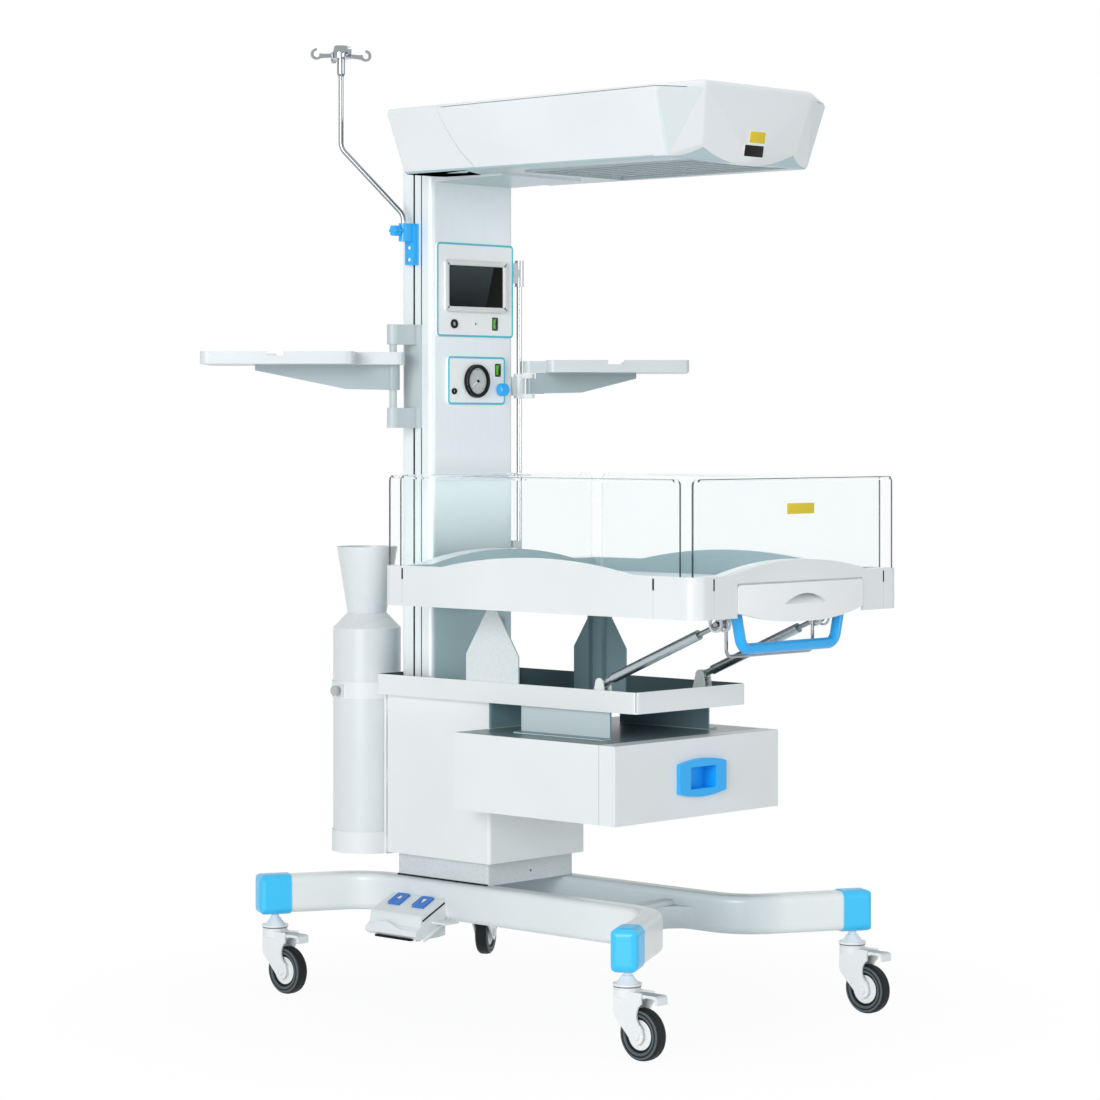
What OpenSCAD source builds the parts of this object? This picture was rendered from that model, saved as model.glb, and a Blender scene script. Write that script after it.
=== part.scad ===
// Infant warmer on a castor base: a lifting cabinet, a tilting bed with clear panels, a mast with
// control panels, shelves, an infusion pole, a gas cylinder and an overhead radiant heater.
// Millimetres. +Z is up, the foot end with the blue handle faces -Y, the mast stands at the rear.

/* [Castors] */
// Wheel radius
wheel_r = 50; // [40:1:60]
// Wheel width
wheel_w = 28; // [22:1:32]
// Distance from the stem axis back to the wheel axle
castor_trail = 40; // [30:1:45]
// Radius of the swivel stem
stem_r = 8; // [6:0.5:10]
// Radius of the wheel axle
axle_r = 6; // [4:0.5:8]
// Thickness of a fork cheek
cheek_t = 4; // [3:0.5:6]
// Side distance of the front castor stems from the middle
front_stem_x = 346; // [320:1:380]
// Distance of the front and rear stems from the middle of the base
stem_y = 518; // [480:1:560]
// Side distance of the rear castor stems from the middle
rear_stem_x = 313; // [290:1:340]

/* [Base frame] */
// Height of the rails' underside above the floor
rail_z = 168; // [160:1:190]
// Width of the rail tube
rail_w = 50; // [40:1:56]
// Height of the rail tube
rail_h = 80; // [70:1:90]
// Wall of the rail tube
rail_wall = 3; // [2:0.5:4]
// Corner radius of the rail section
rail_corner = 15; // [8:1:19]
// Side distance of the straight rails' centre lines
rail_x = 126; // [110:1:140]
// Distance forward of the middle to the front bends
front_bend_y = 397; // [370:1:420]
// Distance behind the middle to the rear bends
rear_bend_y = 420; // [390:1:440]
// Bend radius at the centre line
bend_r = 110; // [80:1:130]
// Front face of the front cross beam
beam_y = -250; // [-280:1:-220]
// Depth of the cross beams
beam_d = 40; // [30:1:50]
// Length of an end cap
cap_len = 64; // [60:1:72]
// Wall of an end cap
cap_wall = 2.4; // [2:0.1:3]

/* [Lifting column] */
// Width of the fixed lower sleeve
plinth_w = 260; // [240:2:270]
// Depth of the fixed lower sleeve
plinth_d = 267; // [240:1:280]
// Rear face of the fixed lower sleeve
plinth_back = 332; // [320:1:340]
// Top of the fixed lower sleeve
plinth_top = 585; // [500:1:590]
// Wall of both sleeves
sleeve_wall = 4; // [3:0.5:5]
// Gap between the two sleeves
sleeve_gap = 12; // [8:1:16]
// Bottom of the moving cabinet
cabinet_z = 296; // [290:1:320]
// Radius of the lifting ram
ram_r = 38; // [30:1:44]

/* [Deck] */
// Underside of the deck
deck_z = 633; // [620:1:650]
// Width of the deck
deck_w = 338; // [320:1:360]
// Front edge of the deck
deck_front = -382; // [-400:1:-360]
// Rear edge of the deck
deck_back = 359; // [350:1:370]
// Height of the deck rim
deck_h = 43; // [34:1:50]
// Thickness of the deck floor
deck_floor = 4; // [3:0.5:6]
// Thickness of the deck rim
deck_rim = 3; // [2:0.5:4]

/* [Bed] */
// Width of the bed
bed_w = 635; // [600:1:660]
// Front edge of the bed
bed_front = -663; // [-680:1:-650]
// Rear edge of the bed
bed_back = 188; // [170:1:195]
// Underside of the bed rim
bed_z = 835; // [830:1:838]
// Height of the bed rim
bed_h = 81; // [70:1:90]
// Corner radius of the bed
bed_corner = 30; // [20:1:45]
// Wall of the bed skirt
skirt_t = 4; // [3:0.5:6]
// Side wall thickness with its panel channel
side_wall_t = 20; // [18:1:26]
// Front and rear wall thickness with their panel channels
end_wall_t = 42; // [36:1:48]
// Bed floor thickness
bed_floor_t = 3; // [2:0.5:3.5]
// Rise of the humps on the side walls
side_hump = 25.5; // [10:0.5:40]
// Rise of the humps on the end walls
end_hump = 26; // [10:0.5:40]
// Tilt pivot height
pivot_z = 850; // [848:0.5:851]
// Tilt pivot position along the bed
pivot_y = 18; // [10:1:26]
// Radius of the tilt pivot pins
pivot_r = 8; // [6:0.5:9]
// Mattress thickness
mattress_t = 20; // [15:1:24]

/* [Clear panels] */
// Panel thickness
panel_t = 5; // [4:0.5:6]
// Top edge of the panels
panel_top = 1101; // [1050:1:1150]
// Outward lean of the panels in degrees
panel_lean = 0; // [0:0.5:2]
// Depth of the panel channels
channel_d = 34; // [20:1:38]
// Clearance of a panel in its channel on each side
channel_gap = 0.6; // [0.4:0.1:1]

/* [Tilt struts] */
// Side distance of the strut centre lines
strut_x = 153; // [151:0.5:154]
// Foot pin of the struts along the deck
strut_foot_y = -280; // [-300:1:-260]
// Foot pin height
strut_foot_z = 689; // [688:0.5:694]
// Top pin of the struts along the bed
strut_top_y = -585; // [-590:1:-575]
// Top pin height
strut_top_z = 819; // [814:0.5:820]
// Radius of the strut cylinders
strut_r = 10; // [8:0.5:11]
// Radius of the strut rods
strut_rod_r = 5; // [4:0.5:6]
// Free room for the top pin in the bed lugs
strut_top_gap = 7.2; // [7:0.1:8]

/* [Drawer] */
// Drawer unit width
drawer_w = 500; // [460:2:520]
// Front face of the drawer
drawer_front = -400; // [-420:1:-380]
// Rear of the drawer case
drawer_back = 44; // [30:1:44]
// Underside of the drawer case
drawer_z = 420; // [400:1:440]
// Height of the drawer case
drawer_h = 157; // [130:1:170]
// Thickness of the drawer front block
drawer_block = 43; // [20:1:50]
// Sheet thickness of the drawer and its case
sheet_t = 2; // [1.5:0.5:4]

/* [Mast] */
// Width of the mast
mast_w = 249.4; // [230:0.2:260]
// Front face of the mast
mast_front = 236; // [230:1:240]
// Depth of the mast
mast_d = 92; // [80:1:100]
// Top of the mast
mast_top = 1840; // [1800:1:1850]
// Wall of the mast section
mast_wall = 3; // [2:0.5:4]
// Position of the side slots behind the front face
slot_back = 52; // [40:1:60]
// Width of the side slots
slot_w = 5; // [4:0.5:7]
// Radius of the accessory rail tube
tube_r = 6; // [5:0.5:8]
// Side distance of the accessory rail tube
tube_x = 150; // [146:1:156]
// Position of the accessory rail tube along the depth
tube_y = 243; // [240:1:250]

/* [Control panels] */
// Width of the upper panel
upper_w = 231; // [200:1:240]
// Bottom of the upper panel
upper_z = 1392; // [1380:1:1400]
// Height of the upper panel
upper_h = 199; // [180:1:210]
// Width of the lower panel
lower_w = 173; // [160:1:190]
// Bottom of the lower panel
lower_z = 1248; // [1240:1:1260]
// Height of the lower panel
lower_h = 102; // [90:1:120]
// Thickness of the panels
plate_t = 6; // [5:0.5:8]
// Radius of the pressure gauge
gauge_r = 35; // [28:1:38]
// Radius of the flow knob
knob_r = 14; // [10:0.5:16]

/* [Shelves] */
// Swing of the shelves away from the side in degrees
shelf_turn = 46.7; // [0:0.1:60]
// Tray width
tray_w = 240; // [200:2:260]
// Tray rim height
tray_h = 26; // [20:1:34]
// Underside of the left tray
left_tray_z = 1331; // [1325:1:1335]
// Underside of the right tray
right_tray_z = 1317; // [1315:1:1320]
// Radius of the left pivot bar
bar_r = 8; // [6:0.5:9]
// Reach of the left pivot bar from the mast side
bar_reach = 62; // [56:1:70]

/* [Infusion pole] */
// Radius of the pole tube
pole_r = 5.5; // [4.5:0.5:7]
// Sideways offset of the upper pole
pole_offset = 132; // [80:1:160]
// Height of the pole's top hub
hub_z = 1978; // [1900:1:2050]
// Bottom of the pole clamp
clamp_z = 1543; // [1540:1:1560]
// Height of the pole clamp
clamp_h = 87; // [70:1:95]

/* [Gas cylinder] */
// Radius of the cylinder
gas_r = 73; // [60:1:76]
// Bottom of the cylinder
gas_z = 290; // [288:1:310]
// Height of the cylinder to its shoulder
gas_h = 479; // [400:1:500]
// Side distance of the cylinder's axis
gas_x = 118; // [100:1:130]
// Wall of the cylinder
gas_wall = 4; // [3:0.5:6]

/* [Heater hood] */
// Half width of the hood's top edge
hood_x = 259; // [240:1:270]
// Front corner of the hood's sides
hood_side_y = -520; // [-540:1:-500]
// Front face of the hood
hood_front_y = -559; // [-580:1:-550]
// Height of the hood's side edge
hood_edge_z = 1861; // [1850:1:1870]
// Height of the hood's bottom
hood_z = 1722; // [1710:1:1730]
// Shell thickness
hood_wall = 3; // [2:0.5:4]
// Edge rounding
hood_round = 10; // [6:1:14]

/* [Pedal unit] */
// Rear face of the pedal unit
pedal_back = 320; // [300:1:330]
// Width of the pedal unit along the rail
pedal_w = 152; // [140:1:160]
// Reach of the pedal unit from the rail's side
pedal_reach = 70; // [64:1:80]
// Height of the pedal unit's top at the rail
pedal_top = 214; // [205:1:222]
// Underside of the pedal unit
pedal_z = 131; // [125:1:145]

/* [Hidden] */

white = [0.9, 0.93, 0.93];
grey = [0.62, 0.68, 0.7];
dark = [0.2, 0.22, 0.24];
blue = [0.25, 0.62, 0.95];
steel = [0.75, 0.77, 0.78];
clear = [0.85, 0.95, 0.97, 0.35];

// Shared clearances: running fits, gaps between curved faces, seams between moving pieces
run_gap = 0.05;
free_gap = 0.3;
seam_gap = 1;
// A bend is drawn this much slimmer than the straight tubes that it joins
weld = 0.1;

// Rounded rectangle outline
module rrect(w, h, r) {
    square([w - 2 * r, h], center = true);
    square([w, h - 2 * r], center = true);
    for (x = [-1, 1], y = [-1, 1])
        translate([x * (w / 2 - r), y * (h / 2 - r)]) circle(r = r, $fn = 32);
}

// Rounded upright block, centred in plan and standing on z = 0
module rblock(w, d, h, r) {
    linear_extrude(height = h) rrect(w, d, r);
}

// Round bar between two points
module bar(a, b, r) {
    d = b - a;
    len = norm(d);
    translate(a)
        rotate([0, acos(d[2] / len), atan2(d[1], d[0])])
            cylinder(r = r, h = len, $fn = 32);
}

// Bar along X, centred on x = 0
module xbar(r, len, fn = 32) {
    rotate([0, 90, 0]) cylinder(r = r, h = len, center = true, $fn = fn);
}

// Rail path: the straight runs turn outward to the castor stems
rail_zc = rail_z + rail_h / 2;
front_turn = 90 - atan2(stem_y - front_bend_y, front_stem_x - rail_x);
rear_turn = 90 - atan2(stem_y - rear_bend_y, rear_stem_x - rail_x);
front_tan = bend_r * tan(front_turn / 2);
rear_tan = bend_r * tan(rear_turn / 2);
front_leg = norm([front_stem_x - rail_x, stem_y - front_bend_y]) - front_tan;
rear_leg = norm([rear_stem_x - rail_x, stem_y - rear_bend_y]) - rear_tan;
rail_over = 20;
beam_h = rail_h * 0.74;

module rail_section() {
    difference() {
        rrect(rail_w, rail_h, rail_corner);
        rrect(rail_w - 2 * rail_wall, rail_h - 2 * rail_wall, rail_corner - rail_wall);
    }
}

// Places its children at a castor stem, with X pointing outward along the leg
module at_leg(sx, sy) {
    x = sy < 0 ? front_stem_x : rear_stem_x;
    turn = sy < 0 ? front_turn - 90 : 90 - rear_turn;
    mirror([sx < 0 ? 1 : 0, 0, 0])
        translate([x, sy * stem_y, rail_zc]) rotate([0, 0, turn]) children();
}

module bend_section() {
    difference() {
        rrect(rail_w - 2 * weld, rail_h - 2 * weld, rail_corner - weld);
        rrect(rail_w - 2 * rail_wall + 2 * weld, rail_h - 2 * rail_wall + 2 * weld,
            rail_corner - rail_wall + weld);
    }
}

module rail_bend(y, from, turn) {
    translate([rail_x + bend_r, y, rail_zc])
        rotate([0, 0, from - 0.3])
            rotate_extrude(angle = turn + 0.6, $fn = 96)
                translate([bend_r, 0]) bend_section();
}

module one_rail() {
    translate([rail_x, front_tan - front_bend_y, rail_zc])
        rotate([-90, 0, 0])
            linear_extrude(height = front_bend_y + rear_bend_y - front_tan - rear_tan)
                rail_section();
    rail_bend(front_tan - front_bend_y, 180, front_turn);
    rail_bend(rear_bend_y - rear_tan, 180 - rear_turn, rear_turn);
    at_leg(1, -1)
        translate([-front_leg, 0, 0]) rotate([90, 0, 90])
            linear_extrude(height = front_leg + rail_over) rail_section();
    at_leg(1, 1)
        translate([-rear_leg, 0, 0]) rotate([90, 0, 90])
            linear_extrude(height = rear_leg + rail_over) rail_section();
}

// Hollow cross beam with a rounded top and flared ends
module cross_beam(y, side) {
    half = rail_x - rail_w / 2 + rail_wall / 2;
    flare = 62;
    translate([0, y + beam_d / 2, rail_z + beam_h / 2])
        rotate([90, 0, 90])
            translate([0, 0, -half])
                linear_extrude(height = 2 * half)
                    difference() {
                        rrect(beam_d, beam_h, 12);
                        rrect(beam_d - 2 * rail_wall, beam_h - 2 * rail_wall, 9);
                    }
    for (sx = [-1, 1])
        translate([sx * half, side < 0 ? y : y + beam_d, rail_z + 4])
            mirror([sx > 0 ? 1 : 0, side < 0 ? 1 : 0, 0])
                linear_extrude(height = beam_h - 14)
                    difference() {
                        translate([0, -1]) square([flare, flare + 1]);
                        translate([flare, flare]) circle(r = flare - 1, $fn = 64);
                    }
}

module base_frame() {
    color(white)
        difference() {
            union() {
                for (m = [0, 1]) mirror([m, 0, 0]) one_rail();
                cross_beam(beam_y, -1);
                cross_beam(plinth_back - beam_d - 20, 1);
                for (sx = [-1, 1], sy = [-1, 1])
                    at_leg(sx, sy)
                        translate([0, 0, -rail_h / 2 + 0.5])
                            cylinder(r = stem_r + 7, h = rail_h - 12, $fn = 48);
                // Bracket that carries the pedal unit
                translate([-rail_x - rail_w / 2 - 11, pedal_back - pedal_w / 2 - 14, rail_z + 8])
                    cube([12, 28, 26]);
            }
            for (sx = [-1, 1], sy = [-1, 1])
                at_leg(sx, sy)
                    translate([0, 0, -rail_h / 2 - 1])
                        cylinder(r = stem_r + run_gap, h = rail_h - 15, $fn = 48);
        }
}

// Blue cap over a leg's end, open toward the rail and bored for the stem
module one_cap(len) {
    ow = rail_w + 2 * cap_wall;
    oh = rail_h + 2 * cap_wall;
    back = -29;
    difference() {
        intersection() {
            translate([back, 0, 0]) rotate([90, 0, 90])
                linear_extrude(height = len) rrect(ow, oh, rail_corner + 1);
            translate([back + len / 2 - 10, 0, -oh / 2])
                rblock(len + 20, ow, oh, 14);
            // Rounded outer end seen from the side
            translate([back + len / 2 - 10, ow / 2 + 1, 0]) rotate([90, 0, 0])
                linear_extrude(height = ow + 2) rrect(len + 20, oh, 15);
        }
        translate([back - 1, 0, 0]) rotate([90, 0, 90])
            linear_extrude(height = rail_over - back + 1.2)
                rrect(rail_w + 0.3, rail_h + 0.3, rail_corner);
        translate([0, 0, -oh / 2 - 1]) cylinder(r = stem_r + 2, h = 12, $fn = 48);
    }
}

module rail_caps() {
    color(blue)
        for (sx = [-1, 1], sy = [-1, 1]) at_leg(sx, sy) one_cap(sy < 0 ? cap_len : cap_len + 4);
}

// Castor geometry, in a frame with its origin on the floor below the stem
ring_top = rail_z - 16;
crown_z = ring_top - 34;
lever_y = -34;
lever_z = crown_z + 2;
fork_in = wheel_w / 2 + 2;

module castor_place(i) {
    x = [-front_stem_x, front_stem_x, -rear_stem_x, rear_stem_x][i];
    y = [-stem_y, -stem_y, stem_y, stem_y][i];
    turn = [0, 0, 0, 120][i];
    translate([x, y, 0]) rotate([0, 0, turn]) children();
}

module castor_fork() {
    color(white) {
        translate([0, 0, ring_top - 12]) cylinder(r = stem_r, h = rail_h + 12, $fn = 48);
        translate([0, 0, ring_top - 9]) cylinder(r1 = 22, r2 = 14, h = 9, $fn = 48);
        translate([0, 0, ring_top - 13]) cylinder(r = 28, h = 4.2, $fn = 48);
        translate([0, 0, ring_top - 20]) cylinder(r = 25, h = 7.5, $fn = 48);
        difference() {
            union() {
                translate([0, 0, crown_z]) cylinder(r = 26.5, h = 15, $fn = 48);
                translate([-fork_in - cheek_t, -50, crown_z - 2])
                    cube([2 * (fork_in + cheek_t), 50, 15]);
                for (s = [-1, 1])
                    translate([s * (fork_in + cheek_t / 2), 0, 0]) rotate([90, 0, 90])
                        translate([0, 0, -cheek_t / 2])
                            linear_extrude(height = cheek_t) {
                                translate([-castor_trail, wheel_r]) circle(r = 17, $fn = 48);
                                difference() {
                                    polygon([[-52, crown_z + 13], [17, crown_z + 13], [19, wheel_r + 42],
                                        [15, wheel_r + 30], [-castor_trail + 13, wheel_r - 11],
                                        [-castor_trail - 16, wheel_r - 4], [-castor_trail - 14, wheel_r + 14],
                                        [-52, wheel_r + 60]]);
                                    translate([-castor_trail - 26, wheel_r + 38]) circle(r = 26, $fn = 64);
                                }
                            }
            }
            // Room for the wheel under the crown and for the brake lever in front of it
            translate([0, -castor_trail, wheel_r])
                xbar(wheel_r + 4, 2 * fork_in, 64);
            translate([-fork_in, -70, crown_z - 9]) cube([2 * fork_in, 44, 30]);
        }
        translate([0, -castor_trail, wheel_r]) xbar(axle_r, 2 * fork_in + 2 * cheek_t + 6);
        translate([0, lever_y, lever_z]) xbar(3, 2 * fork_in + 1);
    }
}

module castor_wheel() {
    color(dark)
        translate([0, -castor_trail, wheel_r]) rotate([0, 90, 0])
            rotate_extrude($fn = 96)
                polygon([[axle_r + run_gap, -wheel_w / 2 - 1.5], [axle_r + 7, -wheel_w / 2 - 1.5],
                    [axle_r + 10, -wheel_w / 2 + 4], [wheel_r - 17, -wheel_w / 2 + 4],
                    [wheel_r - 15, -wheel_w / 2], [wheel_r - 5, -wheel_w / 2],
                    [wheel_r - 1, -wheel_w / 2 + 4], [wheel_r, -wheel_w / 2 + 9],
                    [wheel_r, wheel_w / 2 - 9], [wheel_r - 1, wheel_w / 2 - 4],
                    [wheel_r - 5, wheel_w / 2], [wheel_r - 15, wheel_w / 2],
                    [wheel_r - 17, wheel_w / 2 - 4], [axle_r + 10, wheel_w / 2 - 4],
                    [axle_r + 7, wheel_w / 2 + 1.5], [axle_r + run_gap, wheel_w / 2 + 1.5]]);
}

// Brake lever: a barrel on the fork's cross pin with a plate reaching forward and a turned-down tab
module castor_brake() {
    w = 2 * fork_in - 2;
    color(white)
        difference() {
            translate([-w / 2, lever_y, lever_z]) rotate([90, 0, 90])
                linear_extrude(height = w) {
                    circle(r = 6, $fn = 32);
                    polygon([[3, 8], [-50, 8], [-54, 5], [-55, -9], [-50, -9],
                        [-49, 2], [-28, 3], [-3, -2]]);
                }
            translate([0, lever_y, lever_z]) xbar(3 + run_gap, w + 2);
        }
}

// Fixed lower sleeve with its foot plate and the lifting column inside
plinth_y = plinth_back - plinth_d / 2;
foot_z = rail_z + rail_h;
module plinth() {
    color(grey)
        difference() {
            union() {
                translate([0, plinth_y, foot_z]) rblock(plinth_w, plinth_d, plinth_top - foot_z, 6);
            }
            translate([0, plinth_y, foot_z + 6])
                rblock(plinth_w - 2 * sleeve_wall, plinth_d - 2 * sleeve_wall, plinth_top, 3);
            translate([0, plinth_y, foot_z - 1]) rblock(150, 150, 12, 10);
            translate([0, plinth_back - plinth_d + 2, foot_z + 20]) rotate([90, 0, 0])
                cylinder(r = 3, h = 10, center = true, $fn = 24);
        }
    color(steel) {
        difference() {
            translate([0, plinth_y, foot_z + 6]) cylinder(r = ram_r + 5, h = 300, $fn = 64);
            translate([0, plinth_y, foot_z + 12]) cylinder(r = ram_r + run_gap, h = 300, $fn = 64);
        }
        difference() {
            translate([0, plinth_y, foot_z]) rblock(190, 190, 6.2, 10);
            translate([0, plinth_y, foot_z - 1]) cylinder(r = 20, h = 10, $fn = 32);
        }
    }
}

cab_w = plinth_w + 2 * (sleeve_gap + sleeve_wall);
cab_d = plinth_d + 2 * (sleeve_gap + sleeve_wall) + 8;
cab_y = plinth_y;
module cabinet() {
    color(white) {
        difference() {
            translate([0, cab_y, cabinet_z]) rblock(cab_w, cab_d, deck_z - cabinet_z, 8);
            translate([0, cab_y, cabinet_z - 1])
                rblock(cab_w - 2 * sleeve_wall, cab_d - 2 * sleeve_wall,
                    deck_z - cabinet_z - 5, 4);
        }
        // Guide collar that runs on the lower sleeve
        difference() {
            translate([0, cab_y, cabinet_z + 4])
                rblock(cab_w - 2 * sleeve_wall + 1, cab_d - 2 * sleeve_wall + 1, 26, 4);
            translate([0, cab_y, cabinet_z])
                rblock(plinth_w + 2 * free_gap, plinth_d + 2 * free_gap, 40, 6);
        }
        translate([0, plinth_y, foot_z + 60])
            cylinder(r = ram_r, h = deck_z - foot_z - 63, $fn = 64);
    }
}

// Open deck tray with the feet of the tilt struts
module strut_foot() {
    eye = 16;
    for (s = [-1, 1])
        translate([s * (eye / 2 + 2.5), 0, 0]) rotate([90, 0, 90])
            translate([0, 0, -1.5])
                linear_extrude(height = 3) {
                    translate([strut_foot_y, strut_foot_z]) circle(r = 11, $fn = 32);
                    polygon([[strut_foot_y - 20, deck_z + 1], [strut_foot_y + 26, deck_z + 1],
                        [strut_foot_y + 9.5, strut_foot_z + 5], [strut_foot_y - 9.5, strut_foot_z + 5]]);
                }
    translate([0, strut_foot_y, strut_foot_z]) xbar(5, eye + 8);
}

deck_yc = (deck_front + deck_back) / 2;
deck_len = deck_back - deck_front;
module platform() {
    color(white) {
        difference() {
            translate([0, deck_yc, deck_z]) rblock(deck_w, deck_len, deck_h, 10);
            translate([0, deck_yc, deck_z + deck_floor])
                rblock(deck_w - 2 * deck_rim, deck_len - 2 * deck_rim, deck_h, 7);
        }
        for (s = [-1, 1]) translate([s * strut_x, 0, 0]) strut_foot();
    }
}

// Side plates that carry the bed's tilt pivots
support_t = 4;
module pivot_supports() {
    face = deck_w / 2 - deck_rim;
    base = deck_z + deck_floor;
    color(grey)
        for (m = [0, 1]) mirror([m, 0, 0]) {
            translate([face - support_t, 0, 0]) rotate([90, 0, 90])
                linear_extrude(height = support_t) {
                    polygon([[pivot_y + 74, base], [pivot_y + 74, 731], [pivot_y + 15, 822],
                        [pivot_y + 13, pivot_z], [pivot_y - 13, pivot_z], [pivot_y - 15, 822],
                        [pivot_y - 75, 731], [pivot_y - 75, base]]);
                    translate([pivot_y, pivot_z]) circle(r = 13, $fn = 48);
                }
            difference() {
                translate([face - support_t - 16, pivot_y - 20, base]) cube([16.2, 40, 175]);
                translate([face - support_t - 17, pivot_y - 17, base - 1]) cube([14, 34, 180]);
            }
            translate([face - support_t - 9, pivot_y, pivot_z]) xbar(pivot_r, 18.2, 48);
        }
}

// Drawer unit under the deck
hang_z = deck_z - drawer_z - drawer_h;
case_y0 = drawer_front + drawer_block + seam_gap;
module drawer_case() {
    d = drawer_back - case_y0;
    color(white) {
        difference() {
            translate([-drawer_w / 2, case_y0, drawer_z]) cube([drawer_w, d, drawer_h]);
            translate([-drawer_w / 2 + sheet_t, case_y0 - 1, drawer_z + sheet_t])
                cube([drawer_w - 2 * sheet_t, d - sheet_t + 1, drawer_h - 2 * sheet_t]);
        }
        // Two hangers with out-turned flanges
        for (s = [-1, 1]) {
            translate([s * 150 - 2, -298, drawer_z + drawer_h - 0.5]) cube([4, 245, hang_z + 0.5]);
            translate([s > 0 ? 150 : -175, -298, drawer_z + drawer_h - 0.5]) cube([25, 245, 3.5]);
            translate([s > 0 ? 130 : -150, -298, deck_z - 3]) cube([20, 245, 3]);
        }
        // Drawer runners
        for (s = [-1, 1])
            translate([s > 0 ? tub_w / 2 - 0.9 : -drawer_w / 2 + sheet_t - 0.5, case_y0 + 4, drawer_z + 40])
                cube([(drawer_w - tub_w) / 2 - sheet_t + 1.4, d - 12, 12]);
    }
}

tub_w = drawer_w - 2 * 13;
module drawer() {
    y1 = drawer_back - sheet_t - 12;
    color(white) {
        // Hollow front block, open to the rear only where the handle pocket sits
        difference() {
            translate([-drawer_w / 2, drawer_front, drawer_z]) cube([drawer_w, drawer_block, drawer_h]);
            translate([-drawer_w / 2 + sheet_t, drawer_front + sheet_t, drawer_z + sheet_t])
                cube([drawer_w - 2 * sheet_t, drawer_block - 2 * sheet_t, drawer_h - 2 * sheet_t]);
            translate([4, drawer_front, drawer_z + 78.5]) cube([84, 8, 50], center = true);
        }
        // Tub
        difference() {
            translate([-tub_w / 2, drawer_front + drawer_block - 0.5, drawer_z + 8])
                cube([tub_w, y1 - drawer_front - drawer_block, 130]);
            translate([-tub_w / 2 + sheet_t, drawer_front + drawer_block + sheet_t, drawer_z + 8 + sheet_t])
                cube([tub_w - 2 * sheet_t, y1 - drawer_front - drawer_block - 2 * sheet_t, 140]);
            for (s = [-1, 1])
                translate([s * (tub_w / 2), drawer_front + drawer_block, drawer_z + 39.7])
                    translate([-1.2, 0, 0]) cube([2.4, 500, 12.6]);
        }
    }
}

// Barrel-shaped handle bezel with a finger pocket
module drawer_handle() {
    cx = 4;
    cz = drawer_z + 78.5;
    color(blue)
        difference() {
            union() {
                translate([cx, drawer_front - 9, cz]) rotate([-90, 0, 0])
                    linear_extrude(height = 9)
                        intersection() {
                            rrect(142, 76, 12);
                            translate([0, 262]) circle(r = 300, $fn = 96);
                            translate([0, -262]) circle(r = 300, $fn = 96);
                        }
                translate([cx, drawer_front + 13, cz]) cube([83.4, 26.2, 49.4], center = true);
            }
            translate([cx, drawer_front + 6, cz]) cube([78, 34, 44], center = true);
        }
}

// Mast extrusion with T slots in its sides
mast_back = mast_front + mast_d;
mast_yc = mast_front + mast_d / 2;
slot_y = mast_front + slot_back;
module mast_outline() {
    difference() {
        union() {
            difference() {
                translate([0, mast_yc]) rrect(mast_w, mast_d, 12);
                translate([0, mast_yc]) rrect(mast_w - 2 * mast_wall, mast_d - 2 * mast_wall, 9);
            }
            for (s = [-1, 1]) {
                translate([s * (mast_w / 2 - 9), slot_y]) square([16, 24], center = true);
                translate([s * (mast_w / 2 - 34), mast_front + 4]) square([4, 6], center = true);
            }
        }
        for (s = [-1, 1]) {
            translate([s * mast_w / 2, slot_y]) square([12, slot_w], center = true);
            translate([s * (mast_w / 2 - 9), slot_y]) square([9, 15], center = true);
            translate([s * mast_w / 2, slot_y - 22]) square([2, 3], center = true);
        }
    }
}

module mast() {
    base = deck_z + deck_floor;
    color(white) {
        difference() {
            translate([0, 0, base]) linear_extrude(height = mast_top - base) mast_outline();
            // Wells behind the display, the rockers and the knob
            translate([-86, mast_front - 1, upper_z + 50]) cube([172, 5, 105]);
            translate([rocker_x, mast_front, rocker_z]) cube([20, 8, 30], center = true);
            translate([flow_x, mast_front, flow_z]) cube([20, 8, 30], center = true);
            translate([fknob_x, mast_front, fknob_z]) rotate([90, 0, 0])
                cylinder(r = 9, h = 8, center = true, $fn = 32);
        }
        translate([0, mast_yc, mast_top - 0.5]) rblock(mast_w, mast_d, 4, 12);
    }
}

// Round accessory rail on the right side, on two standoffs
rail_bot = 930;
rail_topz = 1561;
module accessory_rail() {
    color(steel) {
        translate([tube_x, tube_y, rail_bot]) cylinder(r = tube_r, h = rail_topz - rail_bot - 4, $fn = 32);
        for (z = [rail_bot + 16, rail_topz - 28])
            translate([mast_w / 2 + 0.05, tube_y - 7, z - 8]) cube([tube_x - mast_w / 2, 14, 16]);
    }
    color(white) {
        translate([tube_x, tube_y, rail_topz - 57]) cylinder(r = 10, h = 57, $fn = 32);
        translate([mast_w / 2 + 0.05, tube_y - 6, rail_topz - 50]) cube([tube_x - mast_w / 2, 12, 44]);
    }
}

// Panel plate with rounded corners, seated on the mast's front face
module plate(x0, z0, w, h) {
    translate([x0 + w / 2, mast_front, z0 + h / 2]) rotate([90, 0, 0])
        linear_extrude(height = plate_t) rrect(w, h, 9);
}

upper_x = -114;
lower_x = -81;
rocker_x = 61;
rocker_z = 1421;
flow_x = 70;
flow_z = 1322;
fknob_x = 79;
fknob_z = 1280;
rocker_w = 12;
rocker_len = 22;

// Window for a rocker with two small pivot bores
module rocker_window(x, z) {
    translate([x, mast_front - plate_t / 2, z])
        cube([rocker_w + 1, plate_t + 2, rocker_len + 2], center = true);
    translate([x, mast_front - 3, z]) xbar(1.2 + run_gap, rocker_w + 5, 24);
}

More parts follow.
